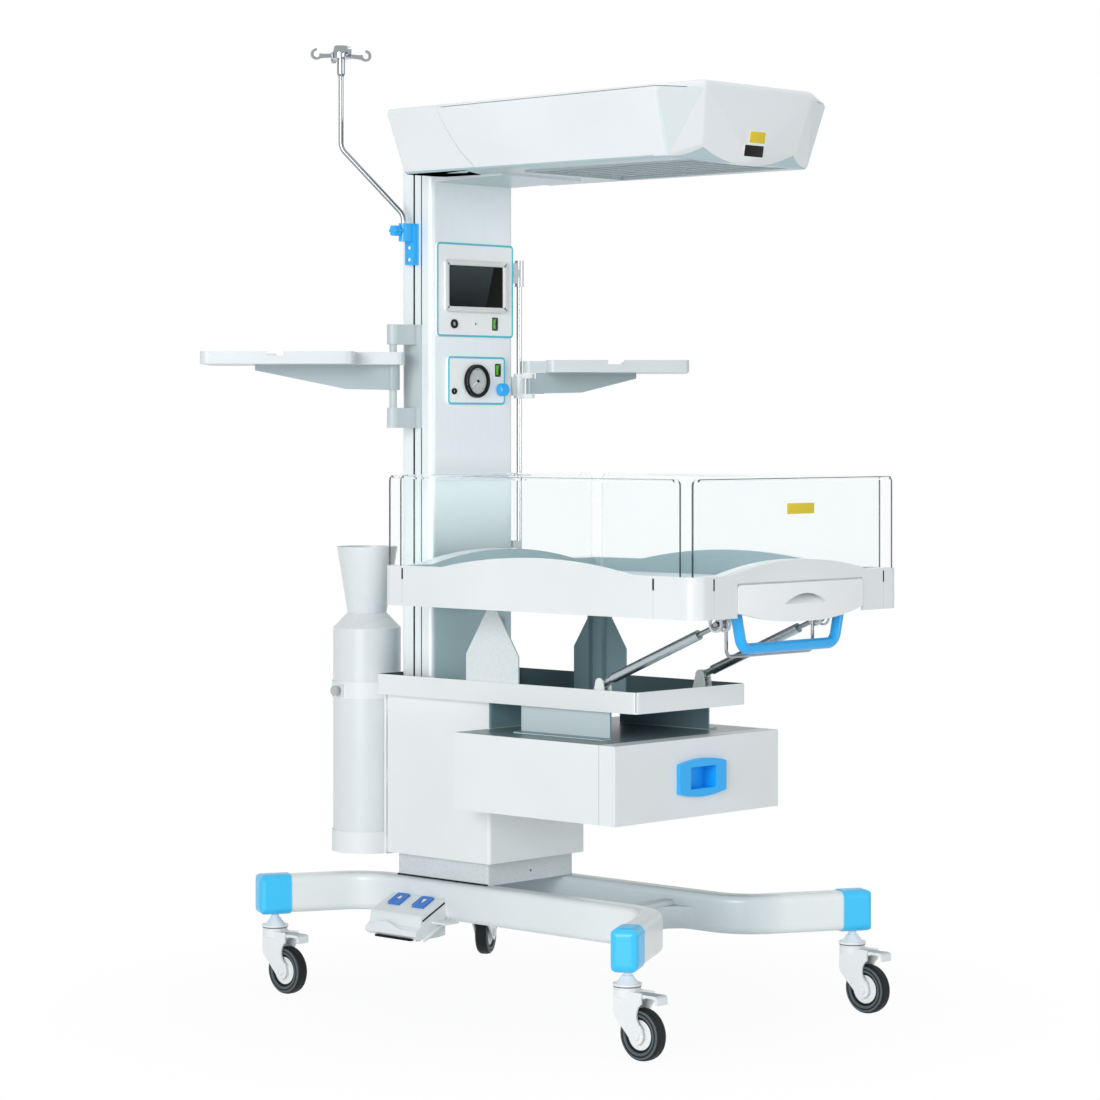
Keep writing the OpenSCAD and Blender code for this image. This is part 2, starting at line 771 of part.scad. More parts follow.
module rocker(x, z) {
    translate([x, mast_front - 3, z]) {
        rotate([90, 0, 90]) translate([0, 0, -rocker_w / 2])
            linear_extrude(height = rocker_w)
                polygon([[2.6, -rocker_len / 2 + 2], [2.6, rocker_len / 2 - 2], [-3, rocker_len / 2],
                    [-6.5, rocker_len / 2 - 1], [-4.2, 0], [-4.6, -rocker_len / 2 + 1],
                    [-3, -rocker_len / 2]]);
        xbar(1.2, rocker_w + 4, 24);
    }
}

module upper_panel() {
    color(white)
        difference() {
            union() {
                plate(upper_x, upper_z, upper_w, upper_h);
                translate([1, mast_front - plate_t + 0.5, upper_z + 108]) rotate([90, 0, 0])
                    linear_extrude(height = 5.5) rrect(188, 108, 7);
                translate([-63.5, mast_front - plate_t + 0.5, 1419]) rotate([90, 0, 0])
                    cylinder(r = 9, h = 3.5, $fn = 32);
                translate([0, mast_front - plate_t + 0.5, 1420]) rotate([90, 0, 0])
                    cylinder(r = 3, h = 2, $fn = 24);
            }
            // Screen well
            translate([-82.5, mast_front - 20, upper_z + 53.5]) cube([165, 40, 98]);
            translate([-63.5, mast_front - 4, 1419]) rotate([90, 0, 0])
                cylinder(r = 5.5, h = 10, $fn = 32);
            rocker_window(rocker_x, rocker_z);
        }
}

module display() {
    color(dark) {
        translate([-81.8, mast_front - 8.5, upper_z + 54.2]) cube([163.6, 9.5, 96.6]);
        translate([-84, mast_front + 0.1, upper_z + 52]) cube([168, 2, 101]);
    }
}

module lower_panel() {
    color(white)
        difference() {
            union() {
                plate(lower_x, lower_z, lower_w, lower_h);
                translate([3, mast_front - plate_t + 0.5, 1298]) rotate([90, 0, 0])
                    cylinder(r = gauge_r, h = 9, $fn = 96);
                translate([-63.5, mast_front - plate_t + 0.5, 1276]) rotate([90, 0, 0])
                    cylinder(r = 6, h = 3.5, $fn = 32);
            }
            translate([3, mast_front - plate_t - 4, 1298]) rotate([90, 0, 0])
                cylinder(r = gauge_r - 7, h = 10, $fn = 96);
            translate([-63.5, mast_front - 4, 1276]) rotate([90, 0, 0])
                cylinder(r = 3.5, h = 10, $fn = 32);
            rocker_window(flow_x, flow_z);
            translate([fknob_x, mast_front, fknob_z]) rotate([90, 0, 0])
                cylinder(r = 3 + run_gap, h = 20, center = true, $fn = 32);
        }
    color(dark)
        translate([3, mast_front - plate_t - 3.6, 1298]) rotate([90, 0, 0])
            rotate([0, 0, 215]) linear_extrude(height = 2.4)
                polygon([[-6, -1.6], [gauge_r - 11, -0.5], [gauge_r - 11, 0.5], [-6, 1.6]]);
}

module power_rocker() {
    color(dark) rocker(rocker_x, rocker_z);
}

module flow_rocker() {
    color(dark) rocker(flow_x, flow_z);
}

module flow_knob() {
    color(blue)
        translate([fknob_x, mast_front - plate_t - 0.5, fknob_z]) rotate([90, 0, 0])
            difference() {
                union() {
                    cylinder(r = knob_r, h = 12, $fn = 48);
                    translate([0, 0, 12]) cylinder(r1 = knob_r, r2 = knob_r - 3, h = 4, $fn = 48);
                    translate([0, 0, -9]) cylinder(r = 3, h = 10, $fn = 32);
                }
                for (a = [0:30:330])
                    rotate([0, 0, a]) translate([knob_r + 1.2, 0, -1]) cylinder(r = 2, h = 18, $fn = 16);
            }
}

// Hood: a tapered shell with slanted front corners
hood_back = mast_front - 0.2;
module hood_form(r) {
    k = hood_round;
    pts = [[hood_x - k, hood_back - k, hood_edge_z - k], [hood_x + 1 - k, hood_side_y + k, hood_edge_z - k],
        [162, hood_front_y + k, hood_edge_z + 12 - k], [110, hood_back - k, hood_edge_z + 12 - k],
        [142, hood_front_y + 24 + k, hood_z + 23 + k], [hood_x - 41 - k, hood_side_y + 11 + k, hood_z + k],
        [hood_x - 34 - k, hood_back - 14 - k, hood_z + 4 + k], [0, hood_front_y + 22 + k, hood_z - 4 + k]];
    hull()
        for (m = [-1, 1], p = pts)
            translate([m * p[0], p[1], p[2]]) sphere(r = r, $fn = 20);
}

module hood_shell() {
    difference() {
        hood_form(hood_round);
        hood_form(hood_round - hood_wall);
        // Heater opening in the underside
        translate([-heat_w / 2 - free_gap, heat_y0 - free_gap, hood_z - 30])
            cube([heat_w + 2 * free_gap, heat_y1 - heat_y0 + 2 * free_gap, 60]);
    }
}

heat_w = 300;
heat_y0 = -505;
heat_y1 = -60;
seam_y = -170;
seam_z = 1920;
seam_r = 263;
top_cut = 12;

// Everything behind the curved seam
module behind_seam(grow) {
    difference() {
        translate([-400, seam_y, hood_z - 60]) cube([800, 600, 300]);
        translate([0, seam_y, seam_z]) xbar(seam_r + grow, 900, 96);
    }
}

// Wedge above the gap line of the top cover
module above_line(grow) {
    translate([-400, 0, 0]) rotate([90, 0, 90]) linear_extrude(height = 800)
        polygon([[hood_side_y - 55, hood_edge_z - 4 + grow], [76, hood_edge_z - 6 + grow], [76, hood_edge_z + 60],
            [hood_side_y - 55, hood_edge_z + 60]]);
}

module hood_rear() {
    color(white) {
        difference() {
            intersection() {
                hood_shell();
                behind_seam(0);
            }
        }
        // Neck under the rear of the hood, on the mast's face
        translate([-mast_w / 2 + 4, 0, 0]) rotate([90, 0, 90])
            linear_extrude(height = mast_w - 8)
                polygon([[hood_back, hood_z + 8], [hood_back, hood_z - 5], [hood_back - 16, hood_z - 5],
                    [34, hood_z - 1], [34, hood_z + 4]]);
    }
}

module hood_front() {
    color(white)
        difference() {
            hood_shell();
            behind_seam(-0.8);
            above_line(-1.2);
        }
}

module hood_top() {
    color(white)
        difference() {
            intersection() {
                hood_form(hood_round);
                above_line(0);
            }
            hood_form(hood_round - hood_wall);
            behind_seam(-0.8);
        }
}

// Heater trough hung inside the hood
module heater_housing() {
    yc = (heat_y0 + heat_y1) / 2;
    len = heat_y1 - heat_y0;
    color(steel)
        difference() {
            union() {
                translate([-heat_w / 2, heat_y0, hood_z - 2]) cube([heat_w, len, 70]);
                translate([-40, yc - 60, hood_z + 60]) cube([80, 120, 30]);
            }
            translate([-heat_w / 2 + 2, heat_y0 + 2, hood_z - 3]) cube([heat_w - 4, len - 4, 20]);
            // Rounded reflector
            translate([0, 0, hood_z + 17]) rotate([-90, 0, 0])
                translate([0, 0, heat_y0 + 8]) linear_extrude(height = len - 16)
                    intersection() {
                        circle(r = 140, $fn = 96);
                        translate([-140, -48]) square([280, 48]);
                    }
        }
    // Quartz heater rod with its end sockets
    color(dark) {
        translate([0, heat_y0 + 7, hood_z + 40]) rotate([-90, 0, 0]) cylinder(r = 7, h = len - 14, $fn = 32);
    }
}

// Guard across the heater, with slats along its length
module heater_grille() {
    len = heat_y1 - heat_y0 - 4 - 2 * free_gap;
    half = heat_w / 2 - 2 - free_gap;
    slats = 7;
    pitch = 2 * (half - 10) / (slats + 1);
    color(steel)
        translate([0, heat_y0 + 2 + free_gap, hood_z + 2]) {
            difference() {
                translate([-half, 0, 0]) cube([2 * half, len, 5]);
                translate([10 - half, 10, -1]) cube([2 * half - 20, len - 20, 7]);
            }
            for (i = [1:slats])
                translate([10 - half + i * pitch - 4, 9, 0]) cube([8, len - 18, 4]);
        }
}

// Left shelf: a fixed bracket with a pivot bar, and the swinging tray on its arm
bar_x = -mast_w / 2 - bar_reach;
brk_z0 = 1198;
brk_z1 = 1416;
arm_drop = 53;
module shelf_bracket_left() {
    lobe = 42;
    color(white) {
        translate([-mast_w / 2 - 6, slot_y - 24, brk_z0]) cube([5.9, 48, brk_z1 - brk_z0]);
        for (t = [0, 1])
            translate([0, 0, t == 0 ? brk_z0 : brk_z1 - lobe])
                difference() {
                    union() {
                        translate([bar_x, slot_y, 0]) cylinder(r = 13, h = lobe, $fn = 48);
                        translate([bar_x, slot_y - 13, 0]) cube([bar_reach - 5, 26, lobe]);
                    }
                    // Sloping outer edge
                    translate([bar_x - 20, slot_y - 20, t == 0 ? 0 : lobe])
                        rotate([0, t == 0 ? 32 : -32, 0]) translate([0, 0, t == 0 ? -60 : 0])
                            cube([90, 40, 60]);
                }
        translate([bar_x, slot_y, brk_z0 + 20]) cylinder(r = bar_r, h = brk_z1 - brk_z0 - 40, $fn = 48);
    }
}

// Tray with a rim and thumb notches; X runs outward from the pivot
module tray(x0, x1, w, neck_w, neck) {
    difference() {
        union() {
            translate([(x0 + neck + x1) / 2, 0, 0]) rblock(x1 - x0 - neck, w, tray_h, 18);
            translate([x0 + neck / 2 + 10, 0, 0]) rblock(neck + 20, neck_w, tray_h, 15);
        }
        translate([(x0 + neck + x1) / 2, 0, 4])
            rblock(x1 - x0 - neck - 8, w - 8, tray_h, 14);
        // Lower rim at the notches
        translate([x1 - 174, -w, tray_h - 9]) cube([34, 2 * w, 20]);
    }
}

// Tapered arm below a tray
module shelf_arm(x0, x1, drop, thick) {
    rotate([90, 0, 0]) translate([0, 0, -thick / 2])
        linear_extrude(height = thick)
            polygon([[x0, 0.5], [x0, -drop], [x0 + 100, -drop + 2], [x1, -12], [x1, 0.5]]);
}

module shelf_left() {
    color(white)
        translate([bar_x, slot_y, left_tray_z]) rotate([0, 0, 180 - shelf_turn])
            difference() {
                union() {
                    tray(-24, 396, tray_w, 84, 100);
                    shelf_arm(0, 290, arm_drop, 22);
                    translate([0, 0, -arm_drop]) cylinder(r = 14, h = arm_drop + tray_h, $fn = 48);
                }
                translate([0, 0, -arm_drop - 1])
                    cylinder(r = bar_r + run_gap, h = arm_drop + tray_h + 2, $fn = 48);
            }
}

// Right shelf: a clamp on the accessory rail with ears for the shelf's knuckle
ear_reach = 24;
clampr_z = 1262;
clampr_h = 53;
ear_t = 9.6;
knuckle_z0 = clampr_z + ear_t + free_gap;
knuckle_h = clampr_h - 2 * ear_t - 2 * free_gap;
module shelf_clamp_right() {
    color(white)
        translate([tube_x, tube_y, clampr_z]) rotate([0, 0, -shelf_turn])
            difference() {
                union() {
                    cylinder(r = tube_r + 6, h = clampr_h, $fn = 48);
                    for (z = [0, clampr_h - ear_t])
                        translate([0, 0, z]) {
                            translate([0, -9, 0]) cube([ear_reach, 18, ear_t]);
                            translate([ear_reach, 0, 0]) cylinder(r = 9, h = ear_t, $fn = 32);
                        }
                    translate([ear_reach, 0, 2]) cylinder(r = 4, h = clampr_h - 4, $fn = 32);
                    for (z = [16, 38])
                        translate([0, -tube_r - 5, z]) rotate([90, 0, 0]) cylinder(r = 4, h = 5, $fn = 24);
                }
                translate([0, 0, -1]) cylinder(r = tube_r + 0.1, h = 80, $fn = 32);
            }
    // Foot of the clamp against the mast's side
    color(white)
        translate([0, 0, clampr_z]) difference() {
            translate([mast_w / 2 + 0.1, tube_y - 5, 6]) cube([tube_x - mast_w / 2, 10, clampr_h - 12]);
            translate([tube_x, tube_y, 0]) cylinder(r = tube_r + 0.1, h = 80, $fn = 32);
        }
}

module shelf_right() {
    reach = 341;
    color(white)
        translate([tube_x, tube_y, right_tray_z]) rotate([0, 0, -shelf_turn])
            translate([ear_reach, 0, 0])
                difference() {
                    union() {
                        tray(-16, reach, tray_w, 32, 50);
                        shelf_arm(12, 230, right_tray_z - clampr_z - ear_t - 1, 20);
                        translate([0, 0, knuckle_z0 - right_tray_z])
                            cylinder(r = 9, h = knuckle_h, $fn = 32);
                        translate([0, -8, knuckle_z0 - right_tray_z]) cube([30, 16, knuckle_h]);
                    }
                    translate([0, 0, -100]) cylinder(r = 4 + run_gap, h = 200, $fn = 32);
                }
}

// Infusion pole with its clamp on the mast's left slot
pole_x = -mast_w / 2 - 31.5;
clamp_out = 44;
module pole_clamp() {
    sleeve_z = clamp_z + clamp_h - 38;
    color(blue)
        difference() {
            union() {
                // Plate on the mast's side
                translate([-mast_w / 2 - 15.7, slot_y - 14, clamp_z]) cube([15.4, 26, clamp_h]);
                // Sleeve round the pole with its web and screw boss
                translate([pole_x, slot_y, sleeve_z]) cylinder(r = pole_r + 5, h = 38, $fn = 64);
                translate([pole_x, slot_y - 10, sleeve_z]) cube([-mast_w / 2 - 10 - pole_x, 20, 38]);
                translate([-mast_w / 2 - clamp_out, slot_y, clamp_z + clamp_h - 16]) rotate([0, 90, 0])
                    cylinder(r = 8, h = clamp_out - 31.5, $fn = 48);
                // Slot nut and its neck
                translate([-mast_w / 2 - 1, slot_y - slot_w / 2 + 0.4, clamp_z + 6])
                    cube([8, slot_w - 0.8, clamp_h - 12]);
                translate([-mast_w / 2 + 5.2, slot_y - 6.8, clamp_z + 6]) cube([6.4, 13.6, clamp_h - 12]);
            }
            translate([pole_x, slot_y, sleeve_z + 4]) cylinder(r = pole_r + run_gap, h = clamp_h, $fn = 32);
            translate([-mast_w / 2 - clamp_out - 1, slot_y, clamp_z + clamp_h - 16]) rotate([0, 90, 0])
                cylinder(r = 3 + run_gap, h = clamp_out - 31.5 - pole_r + 3, $fn = 32);
            for (z = [11, 36])
                translate([-mast_w / 2 - 15.7, slot_y, clamp_z + z]) rotate([0, 90, 0])
                    cylinder(r = 5, h = 12, center = true, $fn = 32);
        }
}

module pole_knob() {
    color(blue)
        translate([-mast_w / 2 - clamp_out - 0.5, slot_y, clamp_z + clamp_h - 16]) rotate([0, -90, 0])
            difference() {
                union() {
                    translate([0, 0, 1]) cylinder(r = 11.5, h = 18, $fn = 32);
                    translate([0, 0, -6.6]) cylinder(r = 3, h = 9, $fn = 32);
                }
                for (a = [0:60:300])
                    rotate([0, 0, a]) translate([14, 0, 0]) cylinder(r = 5, h = 30, $fn = 24);
            }
}

// Tube bend in the XZ plane, starting upward at the origin and turning toward +X
module elbow(bend, angle, r) {
    translate([bend, 0, 0]) rotate([90, 0, 0]) rotate([0, 0, 180 - angle - 1])
        rotate_extrude(angle = angle + 2, $fn = 64) translate([bend, 0])
            circle(r = r - weld, $fn = 32);
}

pole_tilt = 43;
pole_bend = 32;
pole_z0 = clamp_z + clamp_h + 5;
module iv_pole() {
    bx = pole_bend * (1 - cos(pole_tilt));
    bz = pole_bend * sin(pole_tilt);
    run = (pole_offset - 2 * bx) / sin(pole_tilt);
    ex = bx + run * sin(pole_tilt);
    ez = pole_z0 + bz + run * cos(pole_tilt);
    color(steel)
        translate([pole_x, slot_y, 0]) rotate([0, 0, 180 - shelf_turn]) {
            translate([0, 0, pole_z0 - 38]) cylinder(r = pole_r, h = 38, $fn = 32);
            translate([0, 0, pole_z0]) elbow(pole_bend, pole_tilt, pole_r);
            translate([bx, 0, pole_z0 + bz]) rotate([0, pole_tilt, 0]) cylinder(r = pole_r, h = run, $fn = 32);
            translate([ex + bx, 0, ez + bz]) rotate([0, 180, 0]) elbow(pole_bend, pole_tilt, pole_r);
            translate([pole_offset, 0, ez + bz]) cylinder(r = pole_r, h = hub_z + 4 - ez - bz, $fn = 32);
            translate([pole_offset, 0, hub_z]) {
                translate([0, 0, -38]) cylinder(r1 = pole_r + 0.5, r2 = 8.7, h = 6, $fn = 48);
                translate([0, 0, -32]) cylinder(r = 8.7, h = 34, $fn = 48);
                cylinder(r = 22, h = 12, $fn = 64);
                translate([0, 0, 12]) cylinder(r1 = 18.5, r2 = 14, h = 15, $fn = 64);
                for (a = [0:90:270]) rotate([0, 0, a + 20]) hook();
            }
        }
}

// One hanging hook: a flat arm rising from the hub into an open C
module hook() {
    rotate([90, 0, 0]) translate([0, 0, -3.5]) linear_extrude(height = 7)
        difference() {
            union() {
                polygon([[18, 2], [40, 0], [52, -2], [52, 6], [40, 9], [18, 10]]);
                translate([54, 8]) circle(r = 12, $fn = 48);
            }
            translate([54, 8]) circle(r = 7, $fn = 48);
            translate([40, 9.5]) square([14, 30]);
        }
}

// Gas cylinder with an open valve guard
gas_y = deck_back + gas_r + 8;
guard_z = gas_z + gas_h + 32;
module gas_cylinder() {
    z1 = gas_z + gas_h;
    color(white)
        translate([-gas_x, gas_y, 0])
            rotate_extrude($fn = 96)
                polygon([[0, gas_z + 6], [gas_r - 8, gas_z + 6], [gas_r, gas_z + 14], [gas_r, z1],
                    [42, guard_z], [65, guard_z + 142], [62, guard_z + 142], [39, guard_z + 6],
                    [20, guard_z + 6], [20, guard_z + 60], [12, guard_z + 64], [12, guard_z + 90],
                    [0, guard_z + 90], [0, guard_z], [16, guard_z - 6], [gas_r - gas_wall, z1 - 4],
                    [gas_r - gas_wall, gas_z + 18], [0, gas_z + 12]]);
}

// Cradle: base cup, back channel on the cabinet, strap and its clasp
module cylinder_cradle() {
    back = cab_y + cab_d / 2;
    color(white)
        translate([-gas_x, 0, 0]) {
            difference() {
                translate([0, gas_y, gas_z]) cylinder(r = gas_r + 2.5, h = 46, $fn = 96);
                translate([0, gas_y, gas_z + 5.8]) cylinder(r = gas_r + 0.4, h = 60, $fn = 96);
            }
            difference() {
                translate([0, gas_y, gas_z + 330]) cylinder(r = gas_r + 2.5, h = 35, $fn = 96);
                translate([0, gas_y, gas_z + 329]) cylinder(r = gas_r + 0.4, h = 60, $fn = 96);
            }
            // Back channel between the cup and the strap, clear of the deck's rear edge
            translate([-20, deck_back + 0.3, gas_z]) cube([40, 7, 365]);
            for (z = [gas_z + 8, gas_z + 150, gas_z + 300])
                translate([-16, back - 0.1 + 0.1, z]) cube([32, deck_back + 1 - back, 30]);
            // Clasp ear of the strap, bored for the thumb screw
            difference() {
                translate([-gas_r - 10, gas_y - 8, gas_z + 334]) cube([9, 16, 27]);
                translate([-gas_r - 12, gas_y, gas_z + 347.5]) rotate([0, 90, 0])
                    cylinder(r = 3 + run_gap, h = 9.5, $fn = 32);
            }
        }
}

module strap_screw() {
    color(dark)
        translate([-gas_x - gas_r - 10.3, gas_y, gas_z + 347.5]) rotate([0, -90, 0]) {
            translate([0, 0, -7]) cylinder(r = 3, h = 8, $fn = 32);
            cylinder(r = 5, h = 8, $fn = 32);
            translate([0, 0, 8]) cylinder(r = 11, h = 6, $fn = 32);
        }
}

// Bed shell
bed_len = bed_back - bed_front;
bed_yc = (bed_back + bed_front) / 2;
floor_z = bed_z + 30;
rim_z = bed_z + bed_h;
in_x = bed_w / 2 - side_wall_t;
in_y0 = bed_front + end_wall_t;
in_y1 = bed_back - end_wall_t - 6;
side_half = 255;
end_half = 215;
side_arc = (side_half * side_half + side_hump * side_hump) / (2 * side_hump);
end_arc = (end_half * end_half + end_hump * end_hump) / (2 * end_hump);
chan_z = rim_z - channel_d;
panel_h = panel_top - chan_z;

// Bottom centre of each panel
px = in_x + side_wall_t / 2 - 0.5;
py0 = bed_front + 15;
py1 = bed_back - 15;

module panel_body(len, grow, h) {
    translate([-panel_t / 2 - grow, -len / 2 - grow, 0])
        cube([panel_t + 2 * grow, len + 2 * grow, h]);
}

// Places a panel: 0 left, 1 right, 2 front, 3 rear, with local X pointing outward
module panel_place(i) {
    p = [[-px, side_yc], [px, side_yc], [0, py0], [0, py1]][i];
    a = [180, 0, -90, 90][i];
    translate([p[0], p[1], chan_z]) rotate([0, 0, a]) rotate([0, panel_lean, 0]) children();
}

side_y0 = bed_front + 46;
side_y1 = bed_back - 48;
side_yc = (side_y0 + side_y1) / 2;
side_len = side_y1 - side_y0;
end_len = 2 * px;

// Hump on one wall: a round segment above the rim
module hump(len_half, rise, arc, thick) {
    translate([-thick / 2, 0, 0]) rotate([90, 0, 90]) linear_extrude(height = thick)
        intersection() {
            translate([0, rise - arc]) circle(r = arc, $fn = 360);
            translate([-len_half, -6]) square([2 * len_half, rise + 7]);
        }
}

tray_front_w = 384;
module bed_shell() {
    color(white)
        difference() {
            union() {
                difference() {
                    translate([0, bed_yc, bed_z]) rblock(bed_w, bed_len, bed_h, bed_corner);
                    // Open inside above the floor
                    translate([0, (in_y0 + in_y1) / 2, floor_z + bed_floor_t])
                        rblock(2 * in_x, in_y1 - in_y0, bed_h, 16);
                    // Hollow skirt below the floor
                    translate([0, bed_yc, bed_z - 1])
                        rblock(bed_w - 2 * skirt_t, bed_len - 2 * skirt_t, 31, bed_corner - skirt_t);
                }
                for (s = [-1, 1])
                    translate([s * (in_x + side_wall_t / 2), bed_yc + 0.5, rim_z])
                        hump(side_half, side_hump, side_arc, side_wall_t);
                translate([0, bed_front + end_wall_t / 2, rim_z]) rotate([0, 0, 90])
                    hump(end_half, end_hump, end_arc, end_wall_t);
                translate([0, bed_back - (end_wall_t + 6) / 2, rim_z]) rotate([0, 0, 90])
                    hump(end_half, end_hump, end_arc, end_wall_t + 6);
                // Pivot lugs and strut lugs under the floor
                for (s = [-1, 1]) {
                    translate([s * 154, pivot_y, 0]) lug(pivot_z, 12, 5);
                    for (t = [-1, 1])
                        translate([s * strut_x + t * 13, strut_top_y, 0])
                            lug(strut_top_z, strut_rod_r + strut_top_gap + 4, 4);
                }
            }
            translate([0, release_y, release_top]) xbar(release_r + run_gap, 2 * strut_x - 10, 48);
            for (s = [-1, 1]) {
                translate([s * 154, pivot_y, pivot_z]) xbar(pivot_r + run_gap, 30, 48);
                translate([s * strut_x, strut_top_y, strut_top_z])
                    xbar(strut_rod_r + strut_top_gap, 40, 48);
            }
            for (i = [0, 1]) panel_place(i) panel_body(side_len, channel_gap, 200);
            for (i = [2, 3]) panel_place(i) panel_body(end_len, channel_gap, 200);
            // Slot marks near the corners
            for (s = [-1, 1], y = [-558, 126])
                translate([s * bed_w / 2, y, bed_z + 65.5]) cube([6, 5, 23], center = true);
            for (x = [-262, 262], y = [bed_front, bed_back])
                translate([x, y, bed_z + 65.5]) cube([5, 6, 23], center = true);
            // Cassette tray pocket in the front wall and its slot below the floor
            translate([0, bed_front, bed_z + 31.5]) cube([tray_front_w + 3, 12, 70], center = true);
            translate([-tray_half - 1, bed_front - 1, bed_z - 1]) cube([2 * tray_half + 2, 20, 30]);
        }
}

// Lug hanging from the bed floor, rounded round its pin
module lug(z, r, t) {
    rotate([90, 0, 90]) translate([0, 0, -t / 2])
        linear_extrude(height = t) {
            translate([0, z]) circle(r = r, $fn = 48);
            polygon([[-r, z], [-r - 6, floor_z + 0.5], [r + 6, floor_z + 0.5], [r, z]]);
        }
}

// Cushion with a crowned top and drawn-in sides
module mattress() {
    m_x = 2 * in_x - 10;
    m_y = in_y1 - in_y0 - 10;
    color([0.75, 0.8, 0.84])
        translate([0, (in_y0 + in_y1) / 2, floor_z + bed_floor_t + free_gap])
            hull() {
                rblock(m_x - 14, m_y - 14, 0.1, 16);
                translate([0, 0, mattress_t * 0.35]) rblock(m_x, m_y, 0.1, 20);
                translate([0, 0, mattress_t * 0.6]) rblock(m_x - 2, m_y - 2, 0.1, 20);
                translate([0, 0, mattress_t * 0.9]) rblock(m_x - 24, m_y - 24, 0.1, 24);
                translate([0, 0, mattress_t - 0.1]) rblock(m_x - 120, m_y - 120, 0.1, 60);
            }
}

// Sliding cassette tray with its curved front and half-round grip
tray_z = bed_z + 8;
tray_half = 122;
module cassette_tray() {
    fw = tray_front_w;
    color(white) {
        difference() {
            translate([0, bed_front - 10, 0]) rotate([90, 0, 0]) translate([0, 0, -15.6])
                linear_extrude(height = 19)
                    intersection() {
                        translate([0, bed_z + 25.5]) rrect(fw, 75, 8);
                        translate([0, bed_z + 825]) circle(r = 838, $fn = 360);
                    }
            // Slight outward bow of the front face
            translate([0, bed_front + 1486, bed_z + 25])
                difference() {
                    cube([fw + 40, 3200, 120], center = true);
                    cylinder(r = 1500, h = 140, center = true, $fn = 360);
                }
            // Grip recess
            translate([0, bed_front - 5, 858]) rotate([90, 0, 0])
                linear_extrude(height = 12)
                    intersection() {
                        translate([0, -105]) circle(r = 124, $fn = 128);
                        translate([-66, 0]) square([132, 30]);
                    }
        }
        // Shallow tray body below the floor
        difference() {
            translate([-tray_half, bed_front + 4.6, tray_z]) cube([2 * tray_half, 310, 18]);
            translate([3 - tray_half, bed_front + 8, tray_z + 3]) cube([2 * tray_half - 6, 303, 20]);
        }
    }
}

module panel_left() { color(clear) clear_panel(0, side_len); }
module panel_right() { color(clear) clear_panel(1, side_len); }
module panel_front() { color(clear) clear_panel(2, end_len); }
module panel_rear() { color(clear) clear_panel(3, end_len); }

// Clear sheet with rounded top corners and a turned-out lip
module clear_panel(i, len) {
    h = panel_h / cos(panel_lean);
    r = 12;
    panel_place(i) {
        rotate([90, 0, 90]) translate([0, 0, -panel_t / 2])
            linear_extrude(height = panel_t) {
                translate([-len / 2, free_gap]) square([len, h - r]);
                translate([-len / 2 + r, h - r - 1]) square([len - 2 * r, r - 1]);
                for (s = [-1, 1]) translate([s * (len / 2 - r), h - r - free_gap]) circle(r = r, $fn = 48);
            }
        translate([panel_t / 2 - 1, 0, h - 8]) rotate([90, 0, 0])
            translate([0, 0, -len / 2 + r]) linear_extrude(height = len - 2 * r)
                polygon([[0, 0], [0, 5], [5, 8], [7, 5]]);
    }
}

// Bent U handle under the bed's foot end
handle_y = bed_front + 32;
handle_z = 772;
module u_handle() {
    r = 11;
    b = 26;
    half = 148;
    wide = 167;
    top = floor_z + 6;
    lean = atan2(wide - half, top - handle_z - b);
    color(blue) {
        for (m = [0, 1]) mirror([m, 0, 0]) {
            translate([half - b, handle_y, handle_z]) rotate([0, 90, 0]) rotate([0, 0, 180])
                elbow(b, 90 - lean, r);
            difference() {
                bar([half - b + b * cos(lean), handle_y, handle_z + b - b * sin(lean)],
                    [wide, handle_y, top], r);
                // Cut flat against the bed floor
                translate([wide, handle_y, floor_z + 20]) cube([60, 40, 40], center = true);
            }
        }
        translate([0, handle_y, handle_z]) xbar(r, 2 * (half - b));
    }
}

// Wire release bar behind the handle, with its pivot ends and lugs
release_y = -584;
release_z = 755;
release_top = 844;
release_r = 3.5;
module release_bar() {
    r = release_r;
    b = 14;
    half = 133;
    color(steel) {
        translate([0, release_y, release_z]) xbar(r, 2 * (half - b));
        for (m = [0, 1]) mirror([m, 0, 0]) {
            translate([half - b, release_y, release_z]) rotate([0, 90, 0]) rotate([0, 0, 180])
                elbow(b, 90, r);
            translate([half, release_y, release_z + b])
                cylinder(r = r, h = release_top - release_z - b + r, $fn = 32);
            translate([half + 5, release_y, release_top]) xbar(r, 16);
        }
    }
}

// Tilt struts; Y runs from the foot pin toward the top pin
strut_dy = strut_top_y - strut_foot_y;
strut_dz = strut_top_z - strut_foot_z;
strut_len = norm([strut_dy, strut_dz]);
strut_rise = atan2(strut_dz, -strut_dy);
module strut_place(s) {
    translate([s * strut_x, strut_foot_y, strut_foot_z]) rotate([-strut_rise, 0, 0])
        mirror([0, 1, 0]) children();
}

module along(y, len, r) {
    translate([0, y, 0]) rotate([-90, 0, 0]) cylinder(r = r, h = len, $fn = 48);
}

module strut_cylinder() {
    color(steel)
        difference() {
            union() {
                xbar(11, 16, 48);
                along(6, 30, 7);
                along(30, 244, strut_r);
            }
            xbar(5 + run_gap, 20, 48);
            along(40, 300, strut_rod_r + run_gap);
        }
}

module strut_rod() {
    color(steel) {
        along(96, strut_len - 96, strut_rod_r);
        along(strut_len - 18, 18, strut_rod_r + 3);
        translate([0, strut_len, 0]) xbar(strut_rod_r + 4, 14, 48);
        translate([0, strut_len, 0]) xbar(strut_rod_r, 32, 48);
    }
}

module strut_cylinder_l() { strut_place(-1) strut_cylinder(); }
module strut_cylinder_r() { strut_place(1) strut_cylinder(); }
module strut_rod_l() { strut_place(-1) strut_rod(); }
module strut_rod_r() { strut_place(1) strut_rod(); }

